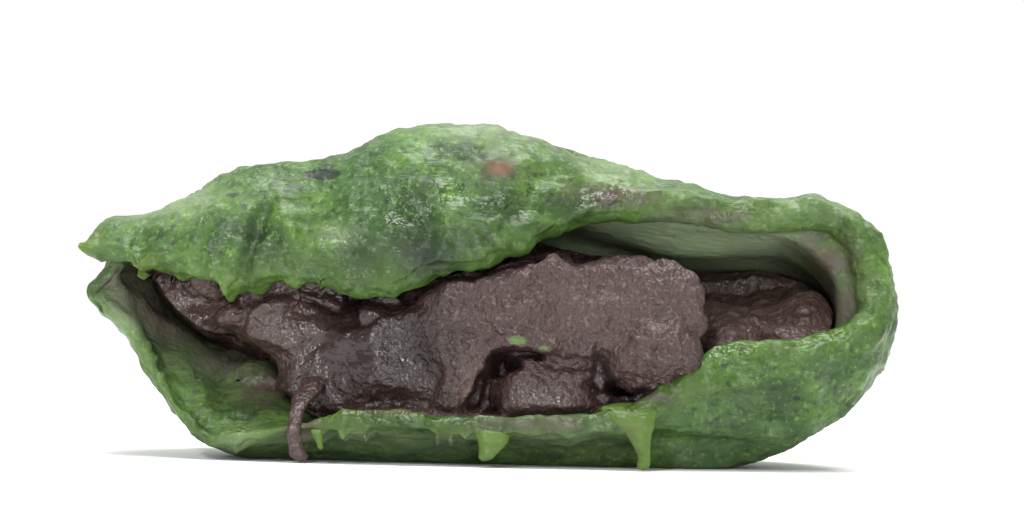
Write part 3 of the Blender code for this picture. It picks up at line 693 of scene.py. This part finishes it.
# Bits of whole leaf, a film of starch that also carries painted sheen and painted light, and bits of
# bean skin
leaf = add(tree, "ShaderNodeAttribute", {}, attribute_name="leaf")
leaf = add(tree, "ShaderNodeMapRange", {
    "Value": leaf.outputs["Fac"], "From Min": 0.3, "From Max": 0.5, "To Max": 0.85,
})
green = add(tree, "ShaderNodeMix", {
    0: leaf.outputs["Result"], MIX_A: green.outputs[MIX_RESULT], MIX_B: colour("141c14"),
}, data_type="RGBA")
# The starch film, with painted sheen on the top and edges and painted light in the shaded roof and under
# the lower lip
starch_film_and_painted_light = add(tree, "ShaderNodeAttribute", {}, attribute_name="starch")
starch_film_and_painted_light = add(tree, "ShaderNodeMath", {0: starch_film_and_painted_light.outputs["Fac"], 1: 0.9}, operation="MULTIPLY")
green = add(tree, "ShaderNodeMix", {
    0: starch_film_and_painted_light.outputs["Value"], MIX_A: green.outputs[MIX_RESULT], MIX_B: colour("95a683"),
}, data_type="RGBA")
bean = add(tree, "ShaderNodeAttribute", {}, attribute_name="bean")
bean = add(tree, "ShaderNodeMapRange", {"Value": bean.outputs["Fac"], "From Min": 0.2, "From Max": 0.8})
green = add(tree, "ShaderNodeMix", {
    0: bean.outputs["Result"], MIX_A: green.outputs[MIX_RESULT], MIX_B: colour("7a5a48"),
}, data_type="RGBA")
# Satin all over, uneven over 3 mm, and glossy under the films of syrup
film = add(tree, "ShaderNodeTexNoise", {"Vector": place, "Scale": 1 / (3.0 * MM), "Detail": 3.0})
film = add(tree, "ShaderNodeMapRange", {
    "Value": film.outputs["Fac"], "From Min": 0.42, "From Max": 0.62, "To Min": 0.4, "To Max": 0.62,
})
wet_film = add(tree, "ShaderNodeAttribute", {}, attribute_name="wet")
film = add(tree, "ShaderNodeMix", {
    0: wet_film.outputs["Fac"], NUMBER_A: film.outputs["Result"], NUMBER_B: 0.17,
})
# Pores and beads of moisture 0.6 mm across, stronger in patches and where it is wet, with the
# fibres' fine relief added
pores = add(tree, "ShaderNodeTexNoise", {
    "Vector": place, "Scale": 1 / (0.6 * MM), "Detail": 1.0, "Roughness": 0.45,
})
beaded = add(tree, "ShaderNodeTexNoise", {"Vector": place, "Scale": 1 / (4.5 * MM), "Detail": 2.0})
beaded = add(tree, "ShaderNodeMapRange", {
    "Value": beaded.outputs["Fac"], "From Min": 0.5, "From Max": 0.66, "To Min": 0.16, "To Max": 0.4,
})
beaded = add(tree, "ShaderNodeMath", {
    0: beaded.outputs["Result"], 1: wet_film.outputs["Fac"],
}, operation="MAXIMUM")
pores = add(tree, "ShaderNodeMath", {
    0: pores.outputs["Fac"], 1: beaded.outputs["Value"],
}, operation="MULTIPLY")
pores = add(tree, "ShaderNodeMath", {
    0: fibres.outputs["Fac"], 1: 0.25, 2: pores.outputs["Value"],
}, operation="MULTIPLY_ADD")
bump = add(tree, "ShaderNodeBump", {
    "Height": pores.outputs["Value"], "Strength": 1.0, "Distance": 0.5 * MM,
})
shader = add(tree, "ShaderNodeBsdfPrincipled", {
    "Base Color": green.outputs[MIX_RESULT],
    "Roughness": film.outputs[0],
    "IOR": 1.37,
    "Subsurface Weight": 0.25,
    "Subsurface Radius": (0.9, 1.0, 0.4),
    "Subsurface Scale": 1.0 * MM,
    "Coat Weight": 0.08,
    "Coat Roughness": 0.15,
    "Normal": bump.outputs["Normal"],
    "Coat Normal": bump.outputs["Normal"],
})
add(tree, "ShaderNodeOutputMaterial", {"Surface": shader.outputs["BSDF"]})
placed("dough_skin", skin_mesh, dough, node="skin")

# Strands of the same dough, drawn out as the cake was torn, that hang from the lower lip to the table.
# They are part of the skin, thin and bright, and one is smeared with paste.
# Each is a row of flat rings: middle x, y, z; half width along x, half depth along y.
DOUGH_STRANDS = (
    (
        (11.4, -7.9, 5.4, 2.2, 0.7), (11.5, -8.9, 4.6, 2.2, 0.7), (11.8, -9.4, 3.7, 1.5, 0.6),
        (12.1, -9.5, 2.8, 0.95, 0.5), (12.4, -9.5, 1.9, 0.6, 0.45), (12.6, -9.4, 1.0, 0.5, 0.4),
        (12.5, -9.3, 0.1, 0.65, 0.5),
    ),
    (
        (0.6, -8.2, 3.4, 1.7, 0.6), (0.6, -9.2, 2.8, 1.5, 0.55), (0.7, -9.5, 2.1, 1.2, 0.5),
        (0.4, -9.5, 1.3, 0.8, 0.45), (0.0, -9.4, 0.5, 0.45, 0.35),
    ),
    (
        (-13.2, -8.0, 3.2, 0.7, 0.4), (-13.3, -8.9, 2.5, 0.45, 0.35), (-13.1, -9.0, 1.8, 0.3, 0.25),
        (-12.9, -8.9, 1.1, 0.3, 0.25),
    ),
)
STRAND_COLUMNS, STRAND_STEPS, STRAND_SMOOTHING = 40, 72, 6
STRAND_END = 0.08  # share of the strand's length over which each end closes
STRAND_RELIEF = ((1.1, 0.14), (0.5, 0.05))
STRAND_THIN = 0.9
STRAND_SMEARS = ((11.2, -9.6, 2.6, 0.6, 1.0, 0.8, 0.7),)


def strand(rows, seed):
    """Flat ellipses stacked along a smoothed path. Their width closes at both ends as a square root."""
    t = np.linspace(0, 1, STRAND_STEPS)
    given = np.linspace(0, 1, len(rows))
    path = np.stack([np.interp(t, given, column) for column in np.transpose(rows)], 1)
    for _ in range(STRAND_SMOOTHING):
        path[1:-1] = (path[:-2] + 2 * path[1:-1] + path[2:]) / 4
    closing = np.sqrt(np.clip(np.minimum(t, 1 - t) / STRAND_END, 0, 1))[:, None]
    turn = np.linspace(0, 2 * np.pi, STRAND_COLUMNS, endpoint=False)
    across = path[:, 3:4] * closing * np.cos(turn)
    deep = path[:, 4:5] * closing * np.sin(turn)
    rings = path[:, None, :3] + np.stack((across, deep, np.zeros_like(across)), -1)
    outward = unit(np.stack((across, deep, np.zeros_like(across)), -1)) * closing[..., None]
    rings = rings + lumps(rings, STRAND_RELIEF, seed)[..., None] * outward
    rings[..., 2] = np.maximum(rings[..., 2], 0)
    return rings


for index, rows in enumerate(DOUGH_STRANDS):
    rings = strand(rows, seed=101 + index)
    mesh = closed_mesh(f"dough_strand_{index + 1}", rings - middle)
    store(mesh, "thin", np.full(rings.shape[:2], STRAND_THIN))
    store(mesh, "stain", spots(rings, STRAND_SMEARS))
    placed(f"dough_strand_{index + 1}", mesh, dough, node="skin")

# The filling's form: red beans boiled soft, sweetened and mashed to a stiff paste that fills the
# pocket. Tearing the cake pulled the paste apart into a broad lump, a knob, a leg and a crack.
# The torn face is a depth y for each x and z, and the rest of the paste follows the skin's inside.
FACE_LEVEL = 9.0  # the depth where no form stands
FACE_MIDDLE, MIDLINE_LENGTH = np.array((0.0, 9.5)), 0.86  # the line on which the face's halves meet
FACE_EDGE = 0.14  # share of the face over which it leaves the pocket's wall

# Forms of the torn face: middle x, z; half width, half height; tilt in degrees; depth y; softness
FORM_POWER = 3  # of their superellipses
FACE_FORMS = (
    (-27.0, 12.8, 8.5, 3.2, 0, 1.5, 2.5),  # thin paste on the left wall
    (-10.5, 9.6, 10.5, 6.6, 0, -4.5, 3.0),  # smooth field left of the lump
    (-20.8, 8.1, 3.6, 1.8, -12, 4.5, 1.8),  # hollow under the left paste
    (-4.5, 9.6, 6.5, 5.8, 0, -6.3, 4.5),  # slope up to the lump
    (-10.4, 13.6, 4.6, 1.6, 8, -2.4, 2.4),  # hollow under the overhang
    (6.0, 11.6, 11.2, 5.1, 0, -8.0, 1.5),  # main lump
    (-1.5, 7.2, 1.9, 3.8, -12, -7.8, 1.4),  # its left leg
    (11.8, 5.2, 4.6, 1.3, 0, -5.2, 1.2),  # shade under the knob
    (4.8, 5.2, 4.2, 3.2, 6, -7.4, 2.6),  # lower chunk
    (6.4, 8.5, 2.4, 0.8, 0, -6.8, 0.9),  # slope between lump and chunk
    (1.5, 8.0, 1.3, 1.1, 25, -2.5, 0.5),  # crack between them
    (3.0, 9.0, 1.4, 0.4, 0, -5.0, 0.4),  # its thin end
    (-0.5, 5.9, 0.4, 1.6, -28, -4.6, 0.4),  # its tail
    (9.4, 7.4, 0.8, 2.2, 0, -6.0, 1.1),  # notch between chunk and knob
)
# Rounded lumps of paste: middle x, z; half width, half height; y of its middle, how far it stands out
FACE_LUMPS = (
    (13.6, 9.3, 3.7, 3.6, -6.4, 3.3),  # knob on the right of the main lump
    (3.2, 5.4, 2.2, 2.3, -6.6, 1.3),  # on the chunk
    (6.3, 5.0, 2.4, 2.6, -6.4, 1.5),
    (11.8, 13.2, 3.4, 2.2, -7.6, 0.7),  # on the main lump
    (1.4, 14.8, 2.0, 1.3, -7.5, 0.7),
    (14.4, 12.6, 3.2, 3.4, -7.2, 1.1),
    (-3.2, 13.6, 2.2, 1.4, -6.8, 0.7),
    (2.0, 12.0, 2.8, 1.8, -7.5, 0.9),
    (7.8, 12.8, 3.0, 2.0, -7.6, 0.9),
    (-26.2, 15.2, 1.9, 1.2, 0.6, 1.6),  # under the overhang, from the left
    (-23.4, 14.6, 1.5, 1.2, -0.6, 1.4),
    (-17.6, 12.9, 2.4, 1.8, -3.2, 1.8),
    (-13.6, 13.4, 1.8, 1.3, -4.0, 1.2),
    (-20.4, 12.0, 1.6, 1.3, -1.6, 1.4),
    (-12.4, 7.0, 2.2, 2.6, -4.2, 0.8),  # on the smooth field
    (-8.6, 12.2, 2.4, 1.6, -4.8, 0.8),
)
LUMP_BLEND = 0.7
# Crumbs that stand up along the lump's top edge: middle x, y, z; reach along x, y, z; height
CRUMBS = (
    (5.2, -7.2, 16.4, 0.8, 1.4, 1.2, 0.8),
    (7.6, -7.0, 16.6, 0.9, 1.2, 1.2, 0.6),
    (1.8, -7.2, 16.0, 1.2, 1.5, 1.2, 0.4),
    (12.8, -6.0, 16.2, 3.6, 5.0, 2.4, 1.0),
)
# Soft lumps in the hollow on the right: middle x, y, z; reach along x, y, z; how far it stands out
HOLLOW_LUMPS = (
    (26.0, 4.0, 13.4, 2.4, 7.0, 1.3, 4.2),
    (21.8, 2.0, 12.8, 1.9, 7.0, 1.0, 3.0),
    (23.8, 0.0, 11.4, 1.7, 7.0, 0.9, 2.2),
    (19.8, -1.0, 11.2, 1.3, 7.0, 0.9, 1.8),
)
# The hollow's floor rises as a ramp right of this x, from a low to a high pair of z and depth y
RAMP_X, RAMP_LOW, RAMP_HIGH = 18.5, (9.0, -5.5), (14.6, 8.0)
RAMP_SLOPE, RAMP_BLEND = 0.12, 2.0
LIP_CLEARANCE, LIP_COVER, COVER_BLEND = 0.9, 1.4, 1.0  # how the face passes behind the upper lip
PASTE_LUMPS = ((3.4, 0.35), (1.8, 0.15))
TORN_WARP = ((2.4, 0.45), (0.9, 0.16))  # how far the forms' edges wander, by size
# Behind the torn face the paste's sides wander: from which y, over what depth, size and reach, and
# the x from which on the right they stay straight, over what width
WANDER_Y, WANDER_DEPTH, WANDER_SIZE, WANDER = -6.5, 4.0, 2.8, 1.0
STRAIGHT_X, STRAIGHT_WIDTH = 16.5, 3.0

FILLING_COLUMNS, FILLING_ROWS = 720, 132
FACE_CROWDING = 5.0  # rows on the torn face, for each on the hidden side
GRAIN = ((1.6, 0.18), (0.8, 0.13), (0.45, 0.14))
PULLED_GRAIN = ((1.4, 0.10),)  # sharp crests where it pulled apart
WET_GRAIN = 0.35  # share of the grain that stands out where the paste is wet and smooth
GRAIN_FADE, SIDE_FADE = 0.03, 0.05  # the relief closes to nothing this near the face's midline
SIDE_LUMPS = ((2.4, 0.4), (1.2, 0.25))  # on the steep sides that the tear left
SIDE_LEVEL = 0.2  # keeps them inside the plain surface
SIDE_NORMAL, SIDE_TURN = -0.8, 0.5  # a side's normal has at least this y, with a soft start
SIDE_Y, SIDE_DEPTH = -3.0, 4.0  # and it lies behind this y, with a soft start


def paste_edge(u):
    """The v at which the paste starts at each u: the outside's depth curve, turned round."""
    row = at_stations(u)
    back = np.clip(row[PASTE_Y] / BACK_DEPTH, 0, 1) ** (BACK_FULLNESS / 2)
    turn = turn_to_lip(row)
    front = np.clip(row[PASTE_Y] / row[LIP_Y], 0, 1) * np.sin(turn)
    return np.where(row[PASTE_Y] > 0, np.arccos(back) * 2 / np.pi, 1 + np.arcsin(front) / turn)


def filling_back(u, v):
    """The filling's hidden side: the outside, moved in by the skin's thickness and a gap."""
    rounded = smooth_step((2 - v) / ROUNDING_REACH)
    base = outside(u, v, rounded)
    normal, _ = directions(u, v, rounded)
    inset = GAP + thickness(u, base) - lumps(base, INNER_LUMPS, seed=5)
    points = base - inset[..., None] * normal
    points[..., 2] = smooth_max(points[..., 2], BASE_THICKNESS + GAP, FLOOR_BLEND)
    return points


def face_depth(x, z):
    """Depth y of the torn face: a level with a ramp at its right. Each form then draws it to its own
    depth by a smooth step over its edge, a superellipse whose outline wanders with noise, and each
    lump stands out of it as half an ellipsoid, with a smooth maximum at their join."""
    flat = np.stack((x, np.zeros_like(x), z), -1)
    x = x + lumps(flat, TORN_WARP, seed=61)
    z = z + lumps(flat, TORN_WARP, seed=71)
    height = z - RAMP_SLOPE * (x - RAMP_X)
    share = np.clip((height - RAMP_LOW[0]) / (RAMP_HIGH[0] - RAMP_LOW[0]), 0, 1)
    ramp = RAMP_LOW[1] + (RAMP_HIGH[1] - RAMP_LOW[1]) * share
    depth = FACE_LEVEL + (ramp - FACE_LEVEL) * smooth_step((x - RAMP_X) / RAMP_BLEND + 1)
    for middle_x, middle_z, half_width, half_height, tilt, level, softness in FACE_FORMS:
        cosine, sine = np.cos(np.radians(tilt)), np.sin(np.radians(tilt))
        across = ((x - middle_x) * cosine + (z - middle_z) * sine) / half_width
        up = ((z - middle_z) * cosine - (x - middle_x) * sine) / half_height
        out = (np.abs(across) ** FORM_POWER + np.abs(up) ** FORM_POWER) ** (1 / FORM_POWER)
        edge = (1 - out) * min(half_width, half_height) / softness
        depth = depth + (level - depth) * smooth_step(0.5 + edge)
    for middle_x, middle_z, half_width, half_height, level, out in FACE_LUMPS:
        away = ((x - middle_x) / half_width) ** 2 + ((z - middle_z) / half_height) ** 2
        dome = level - out * np.sqrt(np.clip(1 - away, 0, 1))
        dome = np.where(away < 1, dome, depth + LUMP_BLEND)
        depth = -smooth_max(-depth, -dome, LUMP_BLEND)
    return depth


def behind_lip(points):
    """Moves the face back to the overhanging lip's inside, by a smooth step in height at the lip."""
    row = at_stations(np.linspace(*UPPER_STATIONS, DENSE))
    row = row[:, np.argsort(row[LIP_X])]
    x, z = points[..., 0], points[..., 2]
    lip_z, lip_y, lip_t = (np.interp(x, row[LIP_X], row[i]) for i in (LIP_Z, LIP_Y, LIP_THICKNESS))
    lip_z = lip_z - lip_t / 2 - teeth(x, UPPER_TEETH)
    limit = lip_y + lip_t + LIP_CLEARANCE
    held = smooth_step((z - lip_z + LIP_COVER) / COVER_BLEND) * (x < row[LIP_X, -1])
    points[..., 1] += held * np.maximum(limit - points[..., 1], 0)
    return points


def filling(u, s):
    """s runs 0 to 1 over the hidden side and 1 to 2 over the torn face, in straight lines from the
    paste's edge to the line midway between the edge above and the edge below. The face's depth has
    noise and the hollow's lumps added, and behind its front the points drift with noise in x and z."""
    edge_v = paste_edge(u)
    hidden = filling_back(u, np.minimum(s, 1) * edge_v)
    edge = filling_back(u, edge_v)
    flat = edge[..., (0, 2)]
    midway = (flat + np.roll(flat[..., ::-1, :], 1, axis=-2)) / 2
    midline = FACE_MIDDLE + (midway - FACE_MIDDLE) * MIDLINE_LENGTH
    out = (2 - np.maximum(s, 1))[..., None]
    across = midline + (flat - midline) * out
    free = smooth_step((1 - out[..., 0]) / FACE_EDGE)
    face = np.stack((across[..., 0], face_depth(across[..., 0], across[..., 1]), across[..., 1]), -1)
    face[..., 1] += lumps(face, PASTE_LUMPS, seed=11) - spots(face, HOLLOW_LUMPS)
    drift = WANDER * free * smooth_step((face[..., 1] - WANDER_Y) / WANDER_DEPTH)
    drift *= 1 - smooth_step((face[..., 0] - STRAIGHT_X) / STRAIGHT_WIDTH)
    across_drift, up_drift = noise(face, WANDER_SIZE, seed=13), noise(face, WANDER_SIZE, seed=14)
    face[..., 0] += drift * across_drift
    face[..., 2] += drift * up_drift + spots(face, CRUMBS)
    face = behind_lip(face)
    face[..., 1] = edge[..., 1] + (face[..., 1] - edge[..., 1]) * free
    return np.where((s < 1)[..., None], hidden, face)


# Where the paste is wet and smooth, as it was pressed against the dough; the rest tore open and
# shows its grain. Middle x, y, z; reach along x, y, z; strength, here and in the next three.
WET_PASTE = (
    (-12.0, -4.5, 9.5, 8.5, 6.0, 8.0, 1.0),  # the smooth field
    (-25.0, 3.0, 12.0, 8.0, 9.0, 5.0, 0.9),  # on the left wall
    (23.0, 2.0, 12.0, 7.0, 9.0, 5.0, 0.45),  # in the hollow on the right
    (12.0, -5.5, 5.2, 4.5, 2.0, 1.4, 0.8),  # under the knob
    (4.5, -7.5, 5.2, 4.0, 2.5, 2.4, 0.8),  # the chunk
    (2.0, -4.0, 8.0, 3.0, 3.0, 1.6, 0.8),  # in the crack
    (9.6, -6.0, 7.0, 1.4, 2.5, 2.6, 0.8),  # in the notch
)
# Paler paste: dried in places, as on the lump's left leg, and painted light where the hollows and the
# chunk lie in shade
DRIED_AND_PAINTED_LIGHT_PASTE = (
    (25.5, 3.5, 13.0, 7.0, 8.0, 4.0, 1.0),  # in the hollow on the right
    (21.5, -0.5, 11.5, 5.0, 6.0, 3.0, 0.9),
    (-25.0, 2.0, 13.5, 7.0, 7.0, 3.5, 0.9),  # on the left wall
    (-17.0, -1.0, 11.0, 4.0, 5.0, 4.0, 0.6),
    (-1.2, -8.0, 6.6, 1.1, 2.0, 2.2, 0.8),  # the lump's left leg
    (5.0, -7.5, 5.0, 4.2, 2.5, 2.6, 0.35),  # the chunk
    (10.5, -8.0, 12.5, 8.0, 3.0, 5.0, 0.3),  # the main lump
)
# Painted shade: the paste darkened in deep places, where shade falls
PAINTED_SHADE_ON_PASTE = (
    (-10.4, -2.0, 13.8, 5.0, 5.0, 1.6, 1.0),  # under the overhang
    (-24.0, 0.0, 15.4, 5.0, 5.0, 1.2, 0.6),
    (1.5, -4.0, 8.0, 1.7, 4.0, 1.2, 0.3),  # in the crack
    (9.4, -6.0, 7.0, 0.9, 3.0, 2.0, 0.6),  # in the notch
    (-6.0, -6.0, 9.0, 3.6, 4.0, 3.6, 0.85),  # left of the lump
    (12.0, -5.5, 5.0, 4.0, 2.5, 1.0, 0.6),  # under the knob
)
# Bits of leaf that the dough left on the paste
LEAF_ON_PASTE = (
    (2.4, -8.0, 10.1, 0.8, 2.0, 0.4, 1.0),
    (4.6, -7.0, 9.5, 0.7, 2.0, 0.35, 0.9),
)
paste_u, paste_s = even_grid(
    filling, 2, FILLING_ROWS, FILLING_COLUMNS, lambda s: 1 + (FACE_CROWDING - 1) * (s > 1),
)
plain_paste = filling(paste_u, paste_s)
paste_normals = grid_normals(plain_paste)
if paste_normals[-FILLING_ROWS // 3, :, 1].mean() > 0:  # on the torn face they point to the front
    paste_normals = -paste_normals
wet = spots(plain_paste, WET_PASTE)
on_face = smooth_step((paste_s - 1) / FACE_EDGE)
torn_share = on_face * (1 - (1 - WET_GRAIN) * wet) * smooth_step((2 - paste_s) / GRAIN_FADE)
paste_grain = lumps(plain_paste, GRAIN, seed=81) + ridges(plain_paste, PULLED_GRAIN, seed=91)
steep = smooth_step((paste_normals[..., 1] - SIDE_NORMAL) / SIDE_TURN) * on_face
steep *= smooth_step((2 - paste_s) / SIDE_FADE)
steep *= smooth_step((plain_paste[..., 1] - SIDE_Y) / SIDE_DEPTH)
paste_relief = torn_share * paste_grain + steep * (lumps(plain_paste, SIDE_LUMPS, seed=95) - SIDE_LEVEL)
paste_rings = plain_paste + paste_relief[..., None] * paste_normals
paste_mesh = closed_mesh("bean_filling", paste_rings - middle, midline=True)
store(paste_mesh, "wet", wet, midline=True)
# Dried paste, and painted light in the shaded hollows
store(paste_mesh, "dried_and_painted_light", spots(paste_rings, DRIED_AND_PAINTED_LIGHT_PASTE), midline=True)
# Painted shade in the deep places
store(paste_mesh, "painted_deep_shade", spots(paste_rings, PAINTED_SHADE_ON_PASTE), midline=True)
store(paste_mesh, "leaf", spots(paste_rings, LEAF_ON_PASTE), midline=True)

# Mashed red beans: matt, grainy starch in a sugar syrup. The torn grain is a dull purple brown with
# pale skins of starch, and the pressed paste is darker and wet, with small bright glints.
paste, tree = new_material("mashed_red_bean_paste")
place = add(tree, "ShaderNodeTexCoord", {}).outputs["Object"]
wetness = add(tree, "ShaderNodeAttribute", {}, attribute_name="wet").outputs["Fac"]
# Grain of the mashed beans, 0.7 mm
grain = add(tree, "ShaderNodeTexNoise", {
    "Vector": place, "Scale": 1 / (0.7 * MM), "Detail": 5.0, "Roughness": 0.7,
})
grain = add(tree, "ShaderNodeMapRange", {
    "Value": grain.outputs["Fac"], "From Min": 0.34, "From Max": 0.66,
})
brown = add(tree, "ShaderNodeMix", {
    0: grain.outputs["Result"], MIX_A: colour("221413"), MIX_B: colour("432d2b"),
}, data_type="RGBA")
# Pale specks of starch and bean skin, drawn as coarse as 0.4 mm so that they show
starch = add(tree, "ShaderNodeTexNoise", {
    "Vector": place, "Scale": 1 / (0.4 * MM), "Detail": 2.0, "Roughness": 0.6,
})
starch = add(tree, "ShaderNodeMapRange", {
    "Value": starch.outputs["Fac"], "From Min": 0.58, "From Max": 0.68, "To Max": 0.6,
})
brown = add(tree, "ShaderNodeMix", {
    0: starch.outputs["Result"], MIX_A: brown.outputs[MIX_RESULT], MIX_B: colour("756762"),
}, data_type="RGBA")
# A slow change of tone over 5 mm
tone = add(tree, "ShaderNodeTexNoise", {"Vector": place, "Scale": 1 / (5.0 * MM), "Detail": 3.0})
tone = add(tree, "ShaderNodeMapRange", {
    "Value": tone.outputs["Fac"], "From Min": 0.35, "From Max": 0.65, "To Max": 0.35,
})
brown = add(tree, "ShaderNodeMix", {
    0: tone.outputs["Result"], MIX_A: brown.outputs[MIX_RESULT], MIX_B: colour("402a28"),
}, data_type="RGBA")
# Darker where it is wet; paler where it dried, and painted light where the hollows lie in shade; painted
# shade in the deep places
damp = add(tree, "ShaderNodeMath", {0: wetness, 1: 0.75}, operation="MULTIPLY")
brown = add(tree, "ShaderNodeMix", {
    0: damp.outputs["Value"], MIX_A: brown.outputs[MIX_RESULT], MIX_B: colour("1f1716"),
}, data_type="RGBA")
for attribute, tint in (("dried_and_painted_light", "57453f"), ("painted_deep_shade", "1e1514")):
    spread = add(tree, "ShaderNodeAttribute", {}, attribute_name=attribute)
    brown = add(tree, "ShaderNodeMix", {
        0: spread.outputs["Fac"], MIX_A: brown.outputs[MIX_RESULT], MIX_B: colour(tint),
    }, data_type="RGBA")
leaf = add(tree, "ShaderNodeAttribute", {}, attribute_name="leaf")
leaf = add(tree, "ShaderNodeMapRange", {
    "Value": leaf.outputs["Fac"], "From Min": 0.3, "From Max": 0.6,
})
brown = add(tree, "ShaderNodeMix", {
    0: leaf.outputs["Result"], MIX_A: brown.outputs[MIX_RESULT], MIX_B: colour("57663a"),
}, data_type="RGBA")
# Matt and gritty where it tore, glossy and smooth where it is wet
gloss = add(tree, "ShaderNodeMapRange", {"Value": wetness, "To Min": 0.6, "To Max": 0.28})
grit = add(tree, "ShaderNodeTexNoise", {
    "Vector": place, "Scale": 1 / (0.4 * MM), "Detail": 1.0, "Roughness": 0.5,
})
rough = add(tree, "ShaderNodeMapRange", {"Value": wetness, "To Min": 1.0, "To Max": 0.3})
grit = add(tree, "ShaderNodeMath", {
    0: grit.outputs["Fac"], 1: rough.outputs["Result"],
}, operation="MULTIPLY")
bump = add(tree, "ShaderNodeBump", {
    "Height": grit.outputs["Value"], "Strength": 1.0, "Distance": 0.32 * MM,
})
shader = add(tree, "ShaderNodeBsdfPrincipled", {
    "Base Color": brown.outputs[MIX_RESULT],
    "Roughness": gloss.outputs["Result"],
    "IOR": 1.42,
    "Subsurface Weight": 0.1,
    "Subsurface Radius": (1.0, 0.6, 0.5),
    "Subsurface Scale": 0.5 * MM,
    "Coat Weight": 0.2,
    "Coat Roughness": 0.08,
    "Normal": bump.outputs["Normal"],
    "Coat Normal": bump.outputs["Normal"],
})
add(tree, "ShaderNodeOutputMaterial", {"Surface": shader.outputs["BSDF"]})
placed("bean_filling", paste_mesh, paste, node="filling")

# A string of the same paste that was dragged over the lower lip and down to the table.
# It is part of the filling, and half dry.
# A row of flat rings, as the dough's strands are: middle x, y, z; half width, half depth.
PASTE_STRAND = (
    (-13.4, -3.0, 7.6, 1.2, 0.8), (-14.1, -5.2, 6.0, 1.0, 0.8), (-14.8, -7.4, 4.7, 0.75, 0.6),
    (-15.1, -8.7, 3.4, 0.55, 0.45), (-15.1, -9.0, 2.3, 0.55, 0.45), (-14.8, -8.9, 1.2, 0.65, 0.45),
    (-14.5, -8.8, 0.1, 0.85, 0.6),
)
PASTE_STRAND_WET, PASTE_STRAND_PALE = 0.4, 0.2
paste_strand_rings = strand(PASTE_STRAND, seed=111)
paste_strand_mesh = closed_mesh("paste_strand", paste_strand_rings - middle)
store(paste_strand_mesh, "wet", np.full(paste_strand_rings.shape[:2], PASTE_STRAND_WET))
store(paste_strand_mesh, "dried_and_painted_light", np.full(paste_strand_rings.shape[:2], PASTE_STRAND_PALE))
placed("paste_strand", paste_strand_mesh, paste, node="filling")

# A plain table of matt white card, wide enough to fill the view behind the cake.
# It is stage, and no part of the object.
TABLE_SIZE = 4.0  # metres from its middle to each side
table_points = [(x * TABLE_SIZE, y * TABLE_SIZE, 0) for x, y in ((-1, -1), (1, -1), (1, 1), (-1, 1))]
table_mesh = bpy.data.meshes.new("table")
table_mesh.from_pydata(table_points, [], [(0, 1, 2, 3)])
white, tree = new_material("matt_white_card")
shader = add(tree, "ShaderNodeBsdfPrincipled", {"Base Color": colour("f4f4f4"), "Roughness": 0.9})
add(tree, "ShaderNodeOutputMaterial", {"Surface": shader.outputs["BSDF"]})
table_mesh.materials.append(white)
table = bpy.data.objects.new("table", table_mesh)
bpy.context.scene.collection.objects.link(table)

# A light tent of white cloth round the table, brighter behind the cake than at its open front.
# The front's lower light keeps the paste in the mouth dark.
FRONT_WALL, BACK_WALL = 0.35, 1.05
DARK_UP_TO, BRIGHT_FROM = -0.7, 0.3  # the y of a direction, between which the tent's light grows
world = bpy.data.worlds.new("light_tent")
world.use_nodes = True
tree = world.node_tree
tree.nodes.clear()
toward = add(tree, "ShaderNodeTexCoord", {}).outputs["Generated"]
toward = add(tree, "ShaderNodeSeparateXYZ", {"Vector": toward})
wall = add(tree, "ShaderNodeMapRange", {
    "Value": toward.outputs["Y"], "From Min": DARK_UP_TO, "From Max": BRIGHT_FROM,
    "To Min": FRONT_WALL, "To Max": BACK_WALL,
}, interpolation_type="SMOOTHSTEP")
glow = add(tree, "ShaderNodeBackground", {"Color": (1, 1, 1, 1), "Strength": wall.outputs["Result"]})
add(tree, "ShaderNodeOutputWorld", {"Surface": glow.outputs["Background"]})
bpy.context.scene.world = world

# Two soft boxes, low in front and overhead, and a small lamp that gives the wet dough its glints:
# the direction that each shines from, its strength, and the angle across it in degrees
LAMPS = (
    ("low_soft_box", (0.12, -1.0, 0.06), 1.35, 16.0),
    ("top_soft_box", (0.1, -0.05, 0.95), 3.9, 40.0),
    ("small_lamp", (-0.3, -0.85, 0.6), 1.3, 3.0),
)
for name, source, strength, angle in LAMPS:
    light = bpy.data.lights.new(name, "SUN")
    light.energy = strength
    light.angle = np.radians(angle)
    lamp = bpy.data.objects.new(name, light)
    lamp.rotation_euler = Vector(source).to_track_quat("Z", "Y").to_euler()
    bpy.context.scene.collection.objects.link(lamp)

# The camera looks along the table at the torn side, from the photograph's place.
# Its points are in the form's own millimetres, before the form is centred.
CAMERA_AT, CAMERA_TARGET = (1.83, -190.0, 8.0), (1.83, 0.0, 16.82)
CAMERA_ROLL = 1.344  # degrees: the photograph was taken a little askew
CAMERA_LENS = 80.4
camera_data = bpy.data.cameras.new("camera")
camera_data.lens = CAMERA_LENS
camera_data.clip_start = 0.01
camera = bpy.data.objects.new("camera", camera_data)
bpy.context.scene.collection.objects.link(camera)
look = Vector(CAMERA_TARGET) - Vector(CAMERA_AT)
turned = look.to_track_quat("-Z", "Y").to_matrix().to_4x4()
camera.matrix_world = (
    Matrix.Translation((Vector(CAMERA_AT) - Vector(middle)) * MM)
    @ turned
    @ Matrix.Rotation(np.radians(CAMERA_ROLL), 4, "Z")
)
bpy.context.scene.camera = camera
bpy.context.scene.view_settings.view_transform = "Standard"
